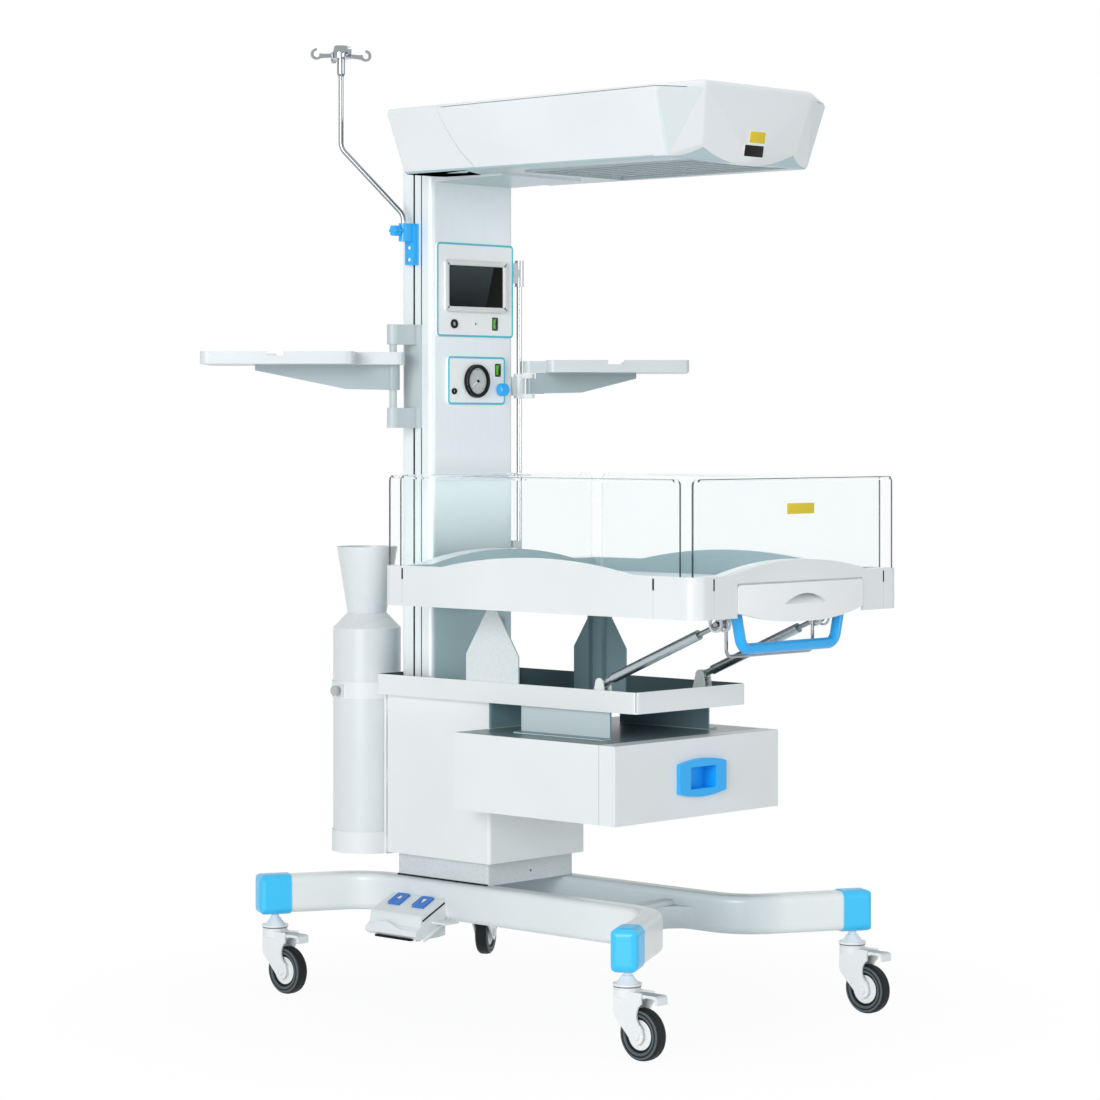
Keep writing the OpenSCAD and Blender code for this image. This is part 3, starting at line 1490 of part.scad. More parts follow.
// Pedal unit on the left rail
ped_x = -rail_x - rail_w / 2;
ped_y = pedal_back - pedal_w / 2;
ped_slope = 26;
pad_in = 3;
pad_len = 38;
pad_w = 36;
pad_y = 36;

// Frame on the sloping top: origin at the rail side, X down the slope, Z out of the face
module on_slope() {
    translate([ped_x - 6, ped_y, pedal_top]) mirror([1, 0, 0]) rotate([0, ped_slope, 0]) children();
}

module pedal_housing() {
    drop = pedal_reach * tan(ped_slope);
    color(white)
        difference() {
            union() {
                translate([0, pedal_back, 0]) rotate([90, 0, 0])
                    linear_extrude(height = pedal_w)
                        polygon([[ped_x - 0.1, pedal_z + 8], [ped_x - 0.1, pedal_top],
                            [ped_x - 6, pedal_top], [ped_x - pedal_reach + 3, pedal_top - drop + 4],
                            [ped_x - pedal_reach, pedal_top - drop], [ped_x - pedal_reach - 3, pedal_z + 30],
                            [ped_x - pedal_reach - 16, pedal_z + 20], [ped_x - pedal_reach - 16, pedal_z + 12],
                            [ped_x - pedal_reach - 6, pedal_z + 5], [ped_x - 20, pedal_z + 5]]);
                translate([ped_x - 40, pedal_back - pedal_w - 40, pedal_z + 36]) cube([39.9, 42, 4]);
                translate([ped_x - pedal_reach - 2, pedal_back - pedal_w + 14, pedal_z])
                    cube([14, pedal_w - 28, 6]);
            }
            // Hollow inside, shut by the base
            translate([0, pedal_back - 3, 0]) rotate([90, 0, 0])
                linear_extrude(height = pedal_w - 6)
                    polygon([[ped_x - 14, pedal_z + 12], [ped_x - 14, pedal_top - 20],
                        [ped_x - pedal_reach + 6, pedal_top - drop - 12], [ped_x - pedal_reach + 6, pedal_z + 12]]);
            // Pocket in the rail bracket's place
            translate([ped_x - 11.3, pedal_back - pedal_w / 2 - 14.3, rail_z + 7.7]) cube([14, 28.6, 26.6]);
            for (y = [-pad_y, pad_y])
                on_slope() translate([pad_in + pad_len / 2, y, 0])
                    cube([pad_len + 1.6, pad_w + 1.6, 18], center = true);
        }
}

// Foot pad that presses into the housing
module pad(y) {
    on_slope() translate([pad_in + pad_len / 2, y, 0]) {
        difference() {
            translate([0, 0, -5]) rblock(pad_len, pad_w, 9, 5);
            translate([0, 0, 3]) rblock(pad_len * 0.5, pad_w * 0.3, 3, 3);
        }
    }
}

module pedal_up() { color(blue) pad(pad_y); }
module pedal_down() { color(blue) pad(-pad_y); }

base_frame();
rail_caps();
plinth();
pedal_housing();
pedal_up();
pedal_down();
castor_place(0) castor_fork();  // castor_fork_fl
castor_place(1) castor_fork();  // castor_fork_fr
castor_place(2) castor_fork();  // castor_fork_rl
castor_place(3) castor_fork();  // castor_fork_rr
castor_place(0) castor_wheel();  // castor_wheel_fl
castor_place(1) castor_wheel();  // castor_wheel_fr
castor_place(2) castor_wheel();  // castor_wheel_rl
castor_place(3) castor_wheel();  // castor_wheel_rr
castor_place(0) castor_brake();  // castor_brake_fl
castor_place(1) castor_brake();  // castor_brake_fr
castor_place(2) castor_brake();  // castor_brake_rl
castor_place(3) castor_brake();  // castor_brake_rr
cabinet();
platform();
pivot_supports();
drawer_case();
drawer();
drawer_handle();
mast();
accessory_rail();
upper_panel();
display();
lower_panel();
power_rocker();
flow_rocker();
flow_knob();
hood_rear();
hood_front();
hood_top();
heater_housing();
heater_grille();
shelf_bracket_left();
shelf_left();
shelf_clamp_right();
shelf_right();
pole_clamp();
iv_pole();
pole_knob();
gas_cylinder();
cylinder_cradle();
strap_screw();
bed_shell();
mattress();
cassette_tray();
panel_left();
panel_right();
panel_front();
panel_rear();
u_handle();
release_bar();
strut_cylinder_l();
strut_cylinder_r();
strut_rod_l();
strut_rod_r();
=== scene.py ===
import bpy
import bmesh
import math
from mathutils import Matrix, Vector


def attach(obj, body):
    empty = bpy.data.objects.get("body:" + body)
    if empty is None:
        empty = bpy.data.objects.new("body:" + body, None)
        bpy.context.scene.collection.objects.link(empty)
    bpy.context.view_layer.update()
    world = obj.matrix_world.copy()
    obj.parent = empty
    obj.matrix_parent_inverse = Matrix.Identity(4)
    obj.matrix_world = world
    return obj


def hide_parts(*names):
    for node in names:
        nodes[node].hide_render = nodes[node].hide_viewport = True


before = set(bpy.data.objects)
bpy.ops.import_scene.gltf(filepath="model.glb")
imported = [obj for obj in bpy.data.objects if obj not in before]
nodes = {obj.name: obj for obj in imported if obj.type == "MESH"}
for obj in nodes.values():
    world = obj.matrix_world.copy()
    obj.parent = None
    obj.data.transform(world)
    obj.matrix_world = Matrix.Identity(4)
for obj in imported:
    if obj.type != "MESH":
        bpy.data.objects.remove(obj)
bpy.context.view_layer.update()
materials = {}
mm = 0.001
print("frame loaded with", len(nodes), "nodes")


# helpers for colours and shader nodes
def tone(red, green, blue):
    # display colour to the linear colour that a shader takes
    linear = [c / 12.92 if c <= 0.04045 else ((c + 0.055) / 1.055) ** 2.4 for c in (red, green, blue)]
    return (*linear, 1.0)


def addNode(tree, kind, **values):
    node = tree.nodes.new(kind)
    for key, value in values.items():
        setattr(node, key, value)
    return node


def feed(tree, socket, value):
    # a plain value stays on the socket itself, an output is linked to it
    if isinstance(value, (int, float, tuple)):
        socket.default_value = value
    else:
        tree.links.new(value, socket)


def addMath(tree, operation, *values):
    node = addNode(tree, "ShaderNodeMath", operation=operation)
    for socket, value in zip(node.inputs, values):
        feed(tree, socket, value)
    return node.outputs[0]


def times(tree, first, *others):
    # product of values, or of masks that have to hold together
    for other in others:
        first = addMath(tree, "MULTIPLY", first, other)
    return first


def above(tree, value, limit):
    return addMath(tree, "GREATER_THAN", value, limit)


def below(tree, value, limit):
    return addMath(tree, "LESS_THAN", value, limit)


def minus(tree, first, second):
    return addMath(tree, "SUBTRACT", first, second)


def absolute(tree, value):
    return addMath(tree, "ABSOLUTE", value)


def addRange(tree, value, fromLow, fromHigh, toLow, toHigh):
    node = addNode(tree, "ShaderNodeMapRange")
    labels = ("Value", "From Min", "From Max", "To Min", "To Max")
    for label, number in zip(labels, (value, fromLow, fromHigh, toLow, toHigh)):
        feed(tree, node.inputs[label], number)
    return node.outputs["Result"]


def addMix(tree, factor, first, second):
    node = addNode(tree, "ShaderNodeMix", data_type="RGBA")
    for socket, value in ((node.inputs["Factor"], factor), (node.inputs[6], first), (node.inputs[7], second)):
        feed(tree, socket, value)
    return node.outputs[2]


def addScaled(tree, vector, factor):
    node = addNode(tree, "ShaderNodeVectorMath", operation="SCALE")
    feed(tree, node.inputs[0], vector)
    feed(tree, node.inputs["Scale"], factor)
    return node.outputs[0]


def addNoise(tree, place, scale, detail=2):
    noise = addNode(tree, "ShaderNodeTexNoise")
    for label, value in (("Vector", place), ("Scale", scale), ("Detail", detail)):
        feed(tree, noise.inputs[label], value)
    return noise.outputs[0]


def addBump(tree, shader, height, strength, distance):
    bump = addNode(tree, "ShaderNodeBump")
    for label, value in (("Strength", strength), ("Distance", distance), ("Height", height)):
        feed(tree, bump.inputs[label], value)
    tree.links.new(bump.outputs["Normal"], shader.inputs["Normal"])


def addShaderMix(tree, factor, first, second):
    node = addNode(tree, "ShaderNodeMixShader")
    for socket, value in zip(node.inputs, (factor, first, second)):
        feed(tree, socket, value)
    return node.outputs[0]


def coordinate(tree, label="Object"):
    return addNode(tree, "ShaderNodeTexCoord").outputs[label]


def splitAxes(tree, label="Object"):
    # X, Y and Z of the place, or with Normal of the way that a face looks
    axes = addNode(tree, "ShaderNodeSeparateXYZ")
    tree.links.new(coordinate(tree, label), axes.inputs[0])
    return axes.outputs


def sightRays(tree):
    # 1 for camera, transmission and glossy rays
    rays = addNode(tree, "ShaderNodeLightPath").outputs
    return addMath(tree, "MAXIMUM", rays["Is Camera Ray"],
        addMath(tree, "MAXIMUM", rays["Is Transmission Ray"], rays["Is Glossy Ray"]))


def setPlain(node, **values):
    # uniform values on a node's own sockets, with _ for each space in a socket's name
    for label, value in values.items():
        node.inputs[label.replace("_", " ")].default_value = value


# camera at the photograph's angle
viewSettings = {"place": (-4.95072, -4.65223, 1.19845), "turn": -46.72, "focalPixels": 3254.06,
    "framePixels": 1100, "sensor": 36, "drop": -0.1112}
camera = bpy.data.cameras.new("viewCamera")
camera.sensor_width = viewSettings["sensor"]
camera.lens = viewSettings["focalPixels"] / viewSettings["framePixels"] * viewSettings["sensor"]
camera.shift_y = viewSettings["drop"]
camera.clip_end = 100
cameraObject = bpy.data.objects.new("viewCamera", camera)
cameraObject.location = viewSettings["place"]
cameraObject.rotation_euler = (math.radians(90), 0, math.radians(viewSettings["turn"]))
bpy.context.scene.collection.objects.link(cameraObject)
bpy.context.scene.camera = cameraObject
bpy.context.scene.view_settings.view_transform = "Standard"

# soft boxes
lampSettings = [
    # name, place, aims at, size, watts
    ("keySoftbox", (-9.0, -3.2, 2.6), (0, 0, 1.0), 4.5, 500),
    ("frontSoftbox", (2.5, -9.0, 2.4), (0, 0, 0.9), 4.0, 150),
    ("topSoftbox", (0.0, -0.5, 6.0), (0, 0, 0.8), 3.0, 60),
]
for lampName, spot, aim, size, watts in lampSettings:
    lamp = bpy.data.lights.new(lampName, "AREA")
    lamp.shape = "SQUARE"
    lamp.size = size
    lamp.energy = watts
    lampObject = bpy.data.objects.new(lampName, lamp)
    lampObject.location = spot
    lampObject.rotation_euler = (Vector(aim) - Vector(spot)).to_track_quat("-Z", "Y").to_euler()
    bpy.context.scene.collection.objects.link(lampObject)

# white backdrop for what the eye sees, dimmer light from all round for the surfaces
worldSettings = {"ambient": (0.92, 0.97, 1.0, 1), "strength": 0.34}
world = bpy.data.worlds.new("studio")
bpy.context.scene.world = world
world.use_nodes = True
worldTree = world.node_tree
worldTree.nodes.clear()
ambient = addNode(worldTree, "ShaderNodeBackground")
setPlain(ambient, Color=worldSettings["ambient"], Strength=worldSettings["strength"])
backdrop = addNode(worldTree, "ShaderNodeBackground")
setPlain(backdrop, Color=(1, 1, 1, 1), Strength=1.0)
worldOut = addNode(worldTree, "ShaderNodeOutputWorld")
worldTree.links.new(addShaderMix(worldTree, sightRays(worldTree), ambient.outputs[0], backdrop.outputs[0]),
    worldOut.inputs["Surface"])
print("camera and lights ready")


# shader node groups, built once and used with each material's own values
def newGroup(name, inputs):
    group = bpy.data.node_groups.new(name, "ShaderNodeTree")
    kinds = {"color": "NodeSocketColor", "value": "NodeSocketFloat", "vector": "NodeSocketVector"}
    for label, kind, default in inputs:
        socket = group.interface.new_socket(name=label, in_out="INPUT", socket_type=kinds[kind])
        socket.default_value = default
    for label, kind in (("Color", "color"), ("Roughness", "value"), ("Height", "value")):
        group.interface.new_socket(name=label, in_out="OUTPUT", socket_type=kinds[kind])
    source = group.nodes.new("NodeGroupInput")
    sink = group.nodes.new("NodeGroupOutput")
    return group, source.outputs, sink.inputs


def buildPaintSkin():
    # powder paint: small flecks, a slow drift in tone and a fine orange peel
    group, source, sink = newGroup("paintSkin",
        [("Paint", "color", (1, 1, 1, 1)), ("Fleck", "color", (0.5, 0.5, 0.5, 1)),
         ("Fleck Scale", "value", 700), ("Fleck Share", "value", 0.2), ("Peel Scale", "value", 900),
         ("Gloss Low", "value", 0.35), ("Gloss High", "value", 0.5)])
    place = coordinate(group)
    flecks = addNoise(group, place, source["Fleck Scale"])
    spots = addRange(group, flecks, 0.52, 0.72, 0, source["Fleck Share"])
    drift = addNoise(group, place, 3.2, 3)
    base = addMix(group, spots, source["Paint"], source["Fleck"])
    feed(group, sink["Color"], addScaled(group, base, addRange(group, drift, 0.3, 0.7, 0.965, 1.02)))
    feed(group, sink["Height"], addNoise(group, place, source["Peel Scale"], 1))
    gloss = addRange(group, drift, 0.3, 0.7, source["Gloss Low"], source["Gloss High"])
    feed(group, sink["Roughness"], gloss)
    return group


def buildBrushedLines():
    # long fine scratches along one axis
    group, source, sink = newGroup("brushedLines",
        [("Metal", "color", (0.7, 0.7, 0.7, 1)), ("Stretch", "vector", (60, 60, 2)),
         ("Contrast", "value", 0.12), ("Gloss Low", "value", 0.2), ("Gloss High", "value", 0.4)])
    stretched = addNode(group, "ShaderNodeVectorMath", operation="MULTIPLY")
    feed(group, stretched.inputs[0], coordinate(group))
    feed(group, stretched.inputs[1], source["Stretch"])
    lines = addNoise(group, stretched.outputs[0], 12, 4)
    low = minus(group, 1.0, source["Contrast"])
    high = addMath(group, "ADD", 1.0, source["Contrast"])
    factor = addRange(group, lines, 0.25, 0.75, low, high)
    gloss = addRange(group, lines, 0.3, 0.7, source["Gloss Low"], source["Gloss High"])
    feed(group, sink["Color"], addScaled(group, source["Metal"], factor))
    feed(group, sink["Roughness"], gloss)
    feed(group, sink["Height"], lines)
    return group


paintSkin = buildPaintSkin()
brushedLines = buildBrushedLines()


# materials, kept by name
def newMaterial(name):
    material = bpy.data.materials.new(name)
    material.use_nodes = True
    materials[name] = material
    return material.node_tree, material.node_tree.nodes["Principled BSDF"]


def placeGroup(tree, shader, group, **values):
    # a group with its colour and roughness on the shader
    node = addNode(tree, "ShaderNodeGroup", node_tree=group)
    setPlain(node, **values)
    tree.links.new(node.outputs["Color"], shader.inputs["Base Color"])
    tree.links.new(node.outputs["Roughness"], shader.inputs["Roughness"])
    return node.outputs


def paintMaterial(name, paint, fleck=None, share=0.12, fleckScale=650, gloss=(0.34, 0.48), peel=0.08,
        coat=0.0):
    tree, shader = newMaterial(name)
    fleck = fleck or tuple(c * 0.86 for c in paint[:3]) + (1,)
    skin = placeGroup(tree, shader, paintSkin, Paint=paint, Fleck=fleck, Fleck_Scale=fleckScale,
        Fleck_Share=share, Gloss_Low=gloss[0], Gloss_High=gloss[1])
    addBump(tree, shader, skin["Height"], peel, 0.0006)
    # dark plastics and rubber reflect less
    setPlain(shader, Coat_Weight=coat, Coat_Roughness=0.15,
        Specular_IOR_Level=0.5 if max(paint[:3]) > 0.05 else 0.16)
    return tree, shader, skin["Color"]


def metalMaterial(name, metal, stretch=(40, 40, 3), contrast=0.08, gloss=(0.18, 0.32), bump=0.03,
        metallic=1.0):
    tree, shader = newMaterial(name)
    lines = placeGroup(tree, shader, brushedLines, Metal=metal, Stretch=stretch, Contrast=contrast,
        Gloss_Low=gloss[0], Gloss_High=gloss[1])
    setPlain(shader, Metallic=metallic)
    addBump(tree, shader, lines["Height"], bump, 0.0004)
    return tree, shader, lines["Color"]


paintSettings = {
    # red, green, blue, share of flecks, gloss from and to, orange peel, clear coat
    "shellWhite": (0.915, 0.935, 0.94, 0.03, 0.3, 0.42, 0.04, 0.15),
    "hoodWhite": (0.93, 0.945, 0.95, 0.02, 0.28, 0.4, 0.03, 0.2),
    "sheetWhite": (0.93, 0.945, 0.945, 0.06, 0.34, 0.46, 0.06, 0),
    "castorPaint": (0.95, 0.96, 0.96, 0.05, 0.25, 0.36, 0.04, 0.3),
    "cylinderPaint": (0.89, 0.91, 0.915, 0.04, 0.22, 0.34, 0.05, 0.2),
    "plateWhite": (0.995, 1.0, 1.0, 0.02, 0.22, 0.3, 0.02, 0.3),
    "bezelWhite": (0.9, 0.91, 0.9, 0.03, 0.3, 0.4, 0.03, 0),
    "bracketGrey": (0.78, 0.82, 0.83, 0.06, 0.3, 0.42, 0.05, 0),
    "trayGrey": (0.74, 0.79, 0.8, 0.1, 0.3, 0.42, 0.05, 0),
    "gaugeGrey": (0.78, 0.8, 0.8, 0.05, 0.25, 0.35, 0.03, 0.4),
    "pipingGrey": (0.6, 0.69, 0.76, 0.1, 0.5, 0.62, 0.1, 0),
    "sealGrey": (0.36, 0.41, 0.5, 0.06, 0.45, 0.6, 0.05, 0),
    "capBlue": (0.22, 0.79, 1.0, 0.03, 0.28, 0.4, 0.04, 0.15),
    "gripBlue": (0.1, 0.71, 1.0, 0.04, 0.26, 0.38, 0.05, 0.2),
    "padBlue": (0.25, 0.5, 0.84, 0.06, 0.4, 0.55, 0.1, 0),
    "borderCyan": (0.3, 0.78, 0.87, 0.02, 0.3, 0.38, 0.02, 0),
    "labelYellow": (0.9, 0.8, 0.08, 0.08, 0.35, 0.45, 0.03, 0),
    "lampGreen": (0.33, 0.75, 0.1, 0.02, 0.2, 0.3, 0.02, 0.4),
    "darkPlastic": (0.07, 0.08, 0.09, 0.08, 0.35, 0.5, 0.08, 0),
    "blackRubber": (0.07, 0.075, 0.08, 0.1, 0.6, 0.75, 0.2, 0),
    "labelBlack": (0.03, 0.03, 0.035, 0.05, 0.35, 0.45, 0.03, 0),
    # black for the plate that paints the shadow under the hood
    "hoodShadowBlack": (0.02, 0.022, 0.025, 0.05, 0.9, 1.0, 0.02, 0),
}
for name, (red, green, blue, share, glossLow, glossHigh, peel, coat) in paintSettings.items():
    paintMaterial(name, tone(red, green, blue), share=share, gloss=(glossLow, glossHigh), peel=peel,
        coat=coat)
# the plate that paints the shadow under the hood reflects nothing
materials["hoodShadowBlack"].node_tree.nodes["Principled BSDF"].inputs["Specular IOR Level"].default_value = 0

metalMaterial("polishedChrome", tone(0.6, 0.62, 0.64), contrast=0.03, gloss=(0.1, 0.2), bump=0.01)
metalMaterial("railMetal", tone(0.72, 0.74, 0.755), contrast=0.03, gloss=(0.16, 0.28), bump=0.01)
metalMaterial("strutSteel", tone(0.72, 0.76, 0.775), stretch=(50, 3, 50), contrast=0.05, gloss=(0.24, 0.36))

moulded = {"share": 0.03, "gloss": (0.3, 0.42), "peel": 0.04, "coat": 0.15}
rough = {"share": 0.5, "fleckScale": 420, "gloss": (0.42, 0.55), "peel": 0.14}
paintMaterial("plinthPaint", tone(0.84, 0.865, 0.87), tone(0.66, 0.7, 0.71), **rough)


def zonedMaterial(name, paint, zones, seams=()):
    # one paint with other tones, painted shade and light, in boxes of the object's own place, each on the
    # faces that look one way or on all, and fine moulding lines
    tree, shader, color = paintMaterial(name, paint, **moulded)
    place, sides = splitAxes(tree), splitAxes(tree, "Normal")
    for low, high, facing, other in zones:
        mask = 1.0
        for axis, bottom, top in zip("XYZ", low, high):
            mask = times(tree, above(tree, place[axis], bottom), below(tree, place[axis], top), mask)
        if facing:
            toward = times(tree, sides[facing[1]], 1.0 if facing[0] == "+" else -1.0)
            mask = times(tree, mask, above(tree, toward, 0.7))
        color = addMix(tree, mask, color, other)
    for axis, spot in seams:
        along = absolute(tree, place["X"]) if axis == "X" else place[axis]
        line = addRange(tree, absolute(tree, minus(tree, along, spot)), 0.0004, 0.0009, 0.3, 0)
        color = addMix(tree, times(tree, line, below(tree, place["Z"], 0.889)), color, tone(0.5, 0.56, 0.58))
    tree.links.new(color, shader.inputs["Base Color"])


sheetTone, shadeTone = tone(0.93, 0.945, 0.945), tone(0.47, 0.6, 0.64)
# painted shade inside the deck, kept white in two small boxes at its sides
zonedMaterial("deckPaint", sheetTone, [
    ((-0.1665, -0.3795, 0.6365), (0.1665, 0.3565, 0.677), None, tone(0.3, 0.385, 0.405)),
    ((-0.1655, -0.302, 0.638), (-0.1395, -0.252, 0.72), None, sheetTone),
    ((0.1395, -0.302, 0.638), (0.1655, -0.252, 0.72), None, sheetTone)])
# painted shade on the case's top and on the neck under the deck, with painted light on the neck's face toward
# -X
zonedMaterial("drawerPaint", sheetTone, [
    ((-0.26, -0.4, 0.5768), (0.26, 0.05, 0.5775), "+Z", tone(0.42, 0.5, 0.52)),
    ((-0.18, -0.3, 0.578), (0.18, -0.05, 0.64), None, shadeTone),
    ((-0.1535, -0.297, 0.578), (-0.149, -0.05, 0.64), "-X", tone(0.79, 0.845, 0.855))])
# painted shade on the faces toward -Y just under the deck
zonedMaterial("cabinetPaint", sheetTone, [((-0.3, -0.4, 0.5775), (0.3, 0.3, 0.634), "-Y", shadeTone)])
# painted shade over the inside of the bed's hollow; the seams are moulding lines
zonedMaterial("bedPaint", tone(0.925, 0.94, 0.94),
    [((-0.2985, -0.6215, 0.86), (0.2985, 0.141, 1.0), None, tone(0.565, 0.655, 0.672))],
    seams=(("Y", -0.558), ("Y", 0.126), ("X", 0.262)))


def buildTrayFront():
    # white moulding whose finger scoop runs from shade at the top to light at its foot
    tree, shader, color = paintMaterial("trayFront", tone(0.985, 0.99, 0.99), **moulded)
    place = splitAxes(tree)
    scoop = times(tree, above(tree, place["Y"], -0.6701), below(tree, place["Y"], -0.66),
        below(tree, absolute(tree, place["X"]), 0.068), above(tree, place["Z"], 0.8575),
        below(tree, place["Z"], 0.8785))
    depth = addRange(tree, place["Z"], 0.858, 0.877, 0.0, 1.0)
    hollow = addMix(tree, depth, tone(0.97, 0.98, 0.98), tone(0.45, 0.5, 0.52))
    tree.links.new(addMix(tree, scoop, color, hollow), shader.inputs["Base Color"])


def buildSupportPaint():
    # rough paint, with painted shade: a darker tone on the support at +X
    tree, shader, color = paintMaterial("supportPaint", tone(0.9, 0.93, 0.935), tone(0.72, 0.77, 0.785),
        **rough)
    shadedSide = above(tree, splitAxes(tree)["X"], 0.05)
    tree.links.new(addMix(tree, shadedSide, color, tone(0.57, 0.68, 0.715)), shader.inputs["Base Color"])


def buildBasePaint():
    # gloss white with painted shade: it falls off in tone toward the plinth, over the far rail and on the
    # upward faces near the middle
    tree, shader, color = paintMaterial("basePaint", tone(0.93, 0.95, 0.95), share=0.05, gloss=(0.26, 0.38),
        peel=0.05, coat=0.25)
    place, sides = splitAxes(tree), splitAxes(tree, "Normal")
    back = times(tree, addRange(tree, place["Y"], -0.28, 0.14, 0, 1),
        addRange(tree, place["Y"], 0.28, 0.4, 1, 0))
    far = addRange(tree, place["X"], -0.09, -0.02, 0, 0.85)
    inside = addRange(tree, absolute(tree, place["X"]), 0.13, 0.2, 1, 0)
    shade = times(tree, addMath(tree, "MAXIMUM", times(tree, back, 0.5), far), inside)
    color = addMix(tree, shade, color, tone(0.76, 0.81, 0.825))
    upward = times(tree, addRange(tree, sides["Z"], 0.75, 0.97, 0, 1), shade, 0.9)
    tree.links.new(addMix(tree, upward, color, tone(0.58, 0.64, 0.66)), shader.inputs["Base Color"])


def buildArmPaint(name, paint, grey, trayFoot):
    # shelf moulding whose arm, below the tray, is in a greyer tone
    tree, shader, color = paintMaterial(name, paint, **moulded)
    under = addRange(tree, splitAxes(tree)["Z"], trayFoot - 0.0012, trayFoot - 0.0002, 1, 0)
    tree.links.new(addMix(tree, under, color, grey), shader.inputs["Base Color"])


def buildBrakePaint():
    # white with a greyer tone on the faces that look up
    tree, shader, color = paintMaterial("brakeGrey", tone(0.93, 0.945, 0.95), **moulded)
    mask = addRange(tree, splitAxes(tree, "Normal")["Z"], 0.75, 0.9, 0, 1)
    tree.links.new(addMix(tree, mask, color, tone(0.56, 0.61, 0.63)), shader.inputs["Base Color"])


hoodSettings = {"arcFoot": 1.716, "arcBend": 1.501, "ridge": 0.139, "cornerWidth": 0.069, "cornerFoot": 1.745,
    "cornerDrop": 0.02, "cornerBow": -0.02, "frontLimit": -0.47}


def buildHoodShell():
    # white shell, a grey-blue underside, partly the heater tray's grey and partly painted shade, with a
    # curved edge under the front, and painted shade that makes the slanted corners slightly darker
    tree, shader, color = paintMaterial("hoodShell", tone(0.93, 0.945, 0.95), share=0.02, gloss=(0.28, 0.4),
        peel=0.03, coat=0.2)
    place, sides = splitAxes(tree), splitAxes(tree, "Normal")
    across = absolute(tree, place["X"])
    # the front's lower edge: an arc between the corner ridges, and a shallower one on each slanted corner
    arc = addMath(tree, "MULTIPLY_ADD", times(tree, across, across), hoodSettings["arcBend"],
        hoodSettings["arcFoot"])
    part = addMath(tree, "DIVIDE", minus(tree, across, hoodSettings["ridge"]), hoodSettings["cornerWidth"])
    bow = times(tree, part, minus(tree, 1.0, part), hoodSettings["cornerBow"])
    slope = minus(tree, hoodSettings["cornerFoot"], times(tree, part, hoodSettings["cornerDrop"]))
    corner = addMath(tree, "ADD", slope, bow)
    beyond = above(tree, across, hoodSettings["ridge"])
    edge = addMath(tree, "ADD", times(tree, beyond, corner), times(tree, minus(tree, 1.0, beyond), arc))
    face = times(tree, above(tree, place["Z"], edge), below(tree, place["Y"], hoodSettings["frontLimit"]))
    under = times(tree, below(tree, sides["Z"], -0.43), minus(tree, 1.0, face))
    slantedShade = times(tree, below(tree, sides["Y"], -0.4),
        addRange(tree, absolute(tree, sides["X"]), 0.3, 0.4, 0, 1))
    color = addMix(tree, slantedShade, color, tone(0.86, 0.9, 0.905))
    tree.links.new(addMix(tree, under, color, tone(0.72, 0.81, 0.825)), shader.inputs["Base Color"])


def buildMastPaint():
    # satin column with painted shade: its front grows darker behind the bed, and a little lighter again under
    # it
    tree, shader, color = metalMaterial("mastPaint", tone(0.95, 0.975, 0.98), stretch=(30, 30, 1.2),
        contrast=0.02, gloss=(0.34, 0.46), bump=0.02, metallic=0.15)
    place, sides = splitAxes(tree), splitAxes(tree, "Normal")
    frontal = addRange(tree, absolute(tree, sides["X"]), 0.3, 0.7, 1, 0)
    shade = times(tree, addRange(tree, place["Z"], 0.9, 1.14, 1, 0), frontal)
    underBed = addRange(tree, place["Z"], 0.8, 0.88, 1, 0)
    darker = addMix(tree, underBed, tone(0.54, 0.59, 0.6), tone(0.81, 0.925, 0.945))
    color = addMix(tree, shade, color, darker)
    # unlit inside of the side slots and grooves
    across = absolute(tree, place["X"])
    along = absolute(tree, minus(tree, place["Y"], 0.277))
    slot = times(tree, below(tree, across, 0.1244), above(tree, across, 0.1105), below(tree, along, 0.019))
    tree.links.new(addMix(tree, slot, color, tone(0.12, 0.15, 0.17)), shader.inputs["Base Color"])


def buildClearPanel(name, axis, reach):
    # acrylic sheet: clear body, a painted dark reflection on the ends across the given axis up to a reach,
    # and light passes for its shadow
    tree, shader = newMaterial(name)
    setPlain(shader, Base_Color=tone(0.98, 0.99, 0.99), Roughness=0.01, IOR=1.12, Transmission_Weight=1.0)
    dust = addRange(tree, addNoise(tree, coordinate(tree), 5), 0.3, 0.7, 0, 1)
    sheet = addMix(tree, dust, tone(0.97, 0.99, 1.0), tone(0.93, 0.97, 0.98))
    place, sides = splitAxes(tree), splitAxes(tree, "Normal")
    edgeReflection = times(tree, addRange(tree, absolute(tree, sides[axis]), 0.6, 0.8, 0, 1),
        addRange(tree, place[axis], reach, reach + 0.01, 1.0, 0.3))
    # diffuse part that carries the painted dark reflection on the ends and a faint haze on the sheet
    haze = addNode(tree, "ShaderNodeBsdfDiffuse")
    tree.links.new(addMix(tree, edgeReflection, sheet, tone(0.1, 0.15, 0.17)), haze.inputs["Color"])
    hazy = addShaderMix(tree, addRange(tree, edgeReflection, 0, 1, 0.02, 0.85), shader.outputs[0], haze.outputs[0])
    through = addNode(tree, "ShaderNodeBsdfTransparent")
    setPlain(through, Color=(0.97, 0.985, 0.99, 1))
    shadowRay = addNode(tree, "ShaderNodeLightPath").outputs["Is Shadow Ray"]
    tree.links.new(addShaderMix(tree, shadowRay, hazy, through.outputs[0]),
        tree.nodes["Material Output"].inputs["Surface"])


buildTrayFront()
buildSupportPaint()
buildBasePaint()
buildArmPaint("leftShelf", tone(0.86, 0.885, 0.89), tone(0.66, 0.72, 0.735), 1.331)
buildArmPaint("rightShelf", tone(0.83, 0.86, 0.865), tone(0.62, 0.68, 0.695), 1.317)
buildBrakePaint()
buildHoodShell()
buildMastPaint()
for side, axis, reach in (("left", "Y", 1.0), ("right", "Y", -0.3), ("front", "X", 1.0), ("rear", "X", 0.0)):
    buildClearPanel("clearAcrylic_" + side, axis, reach)
print("paints and metals ready")

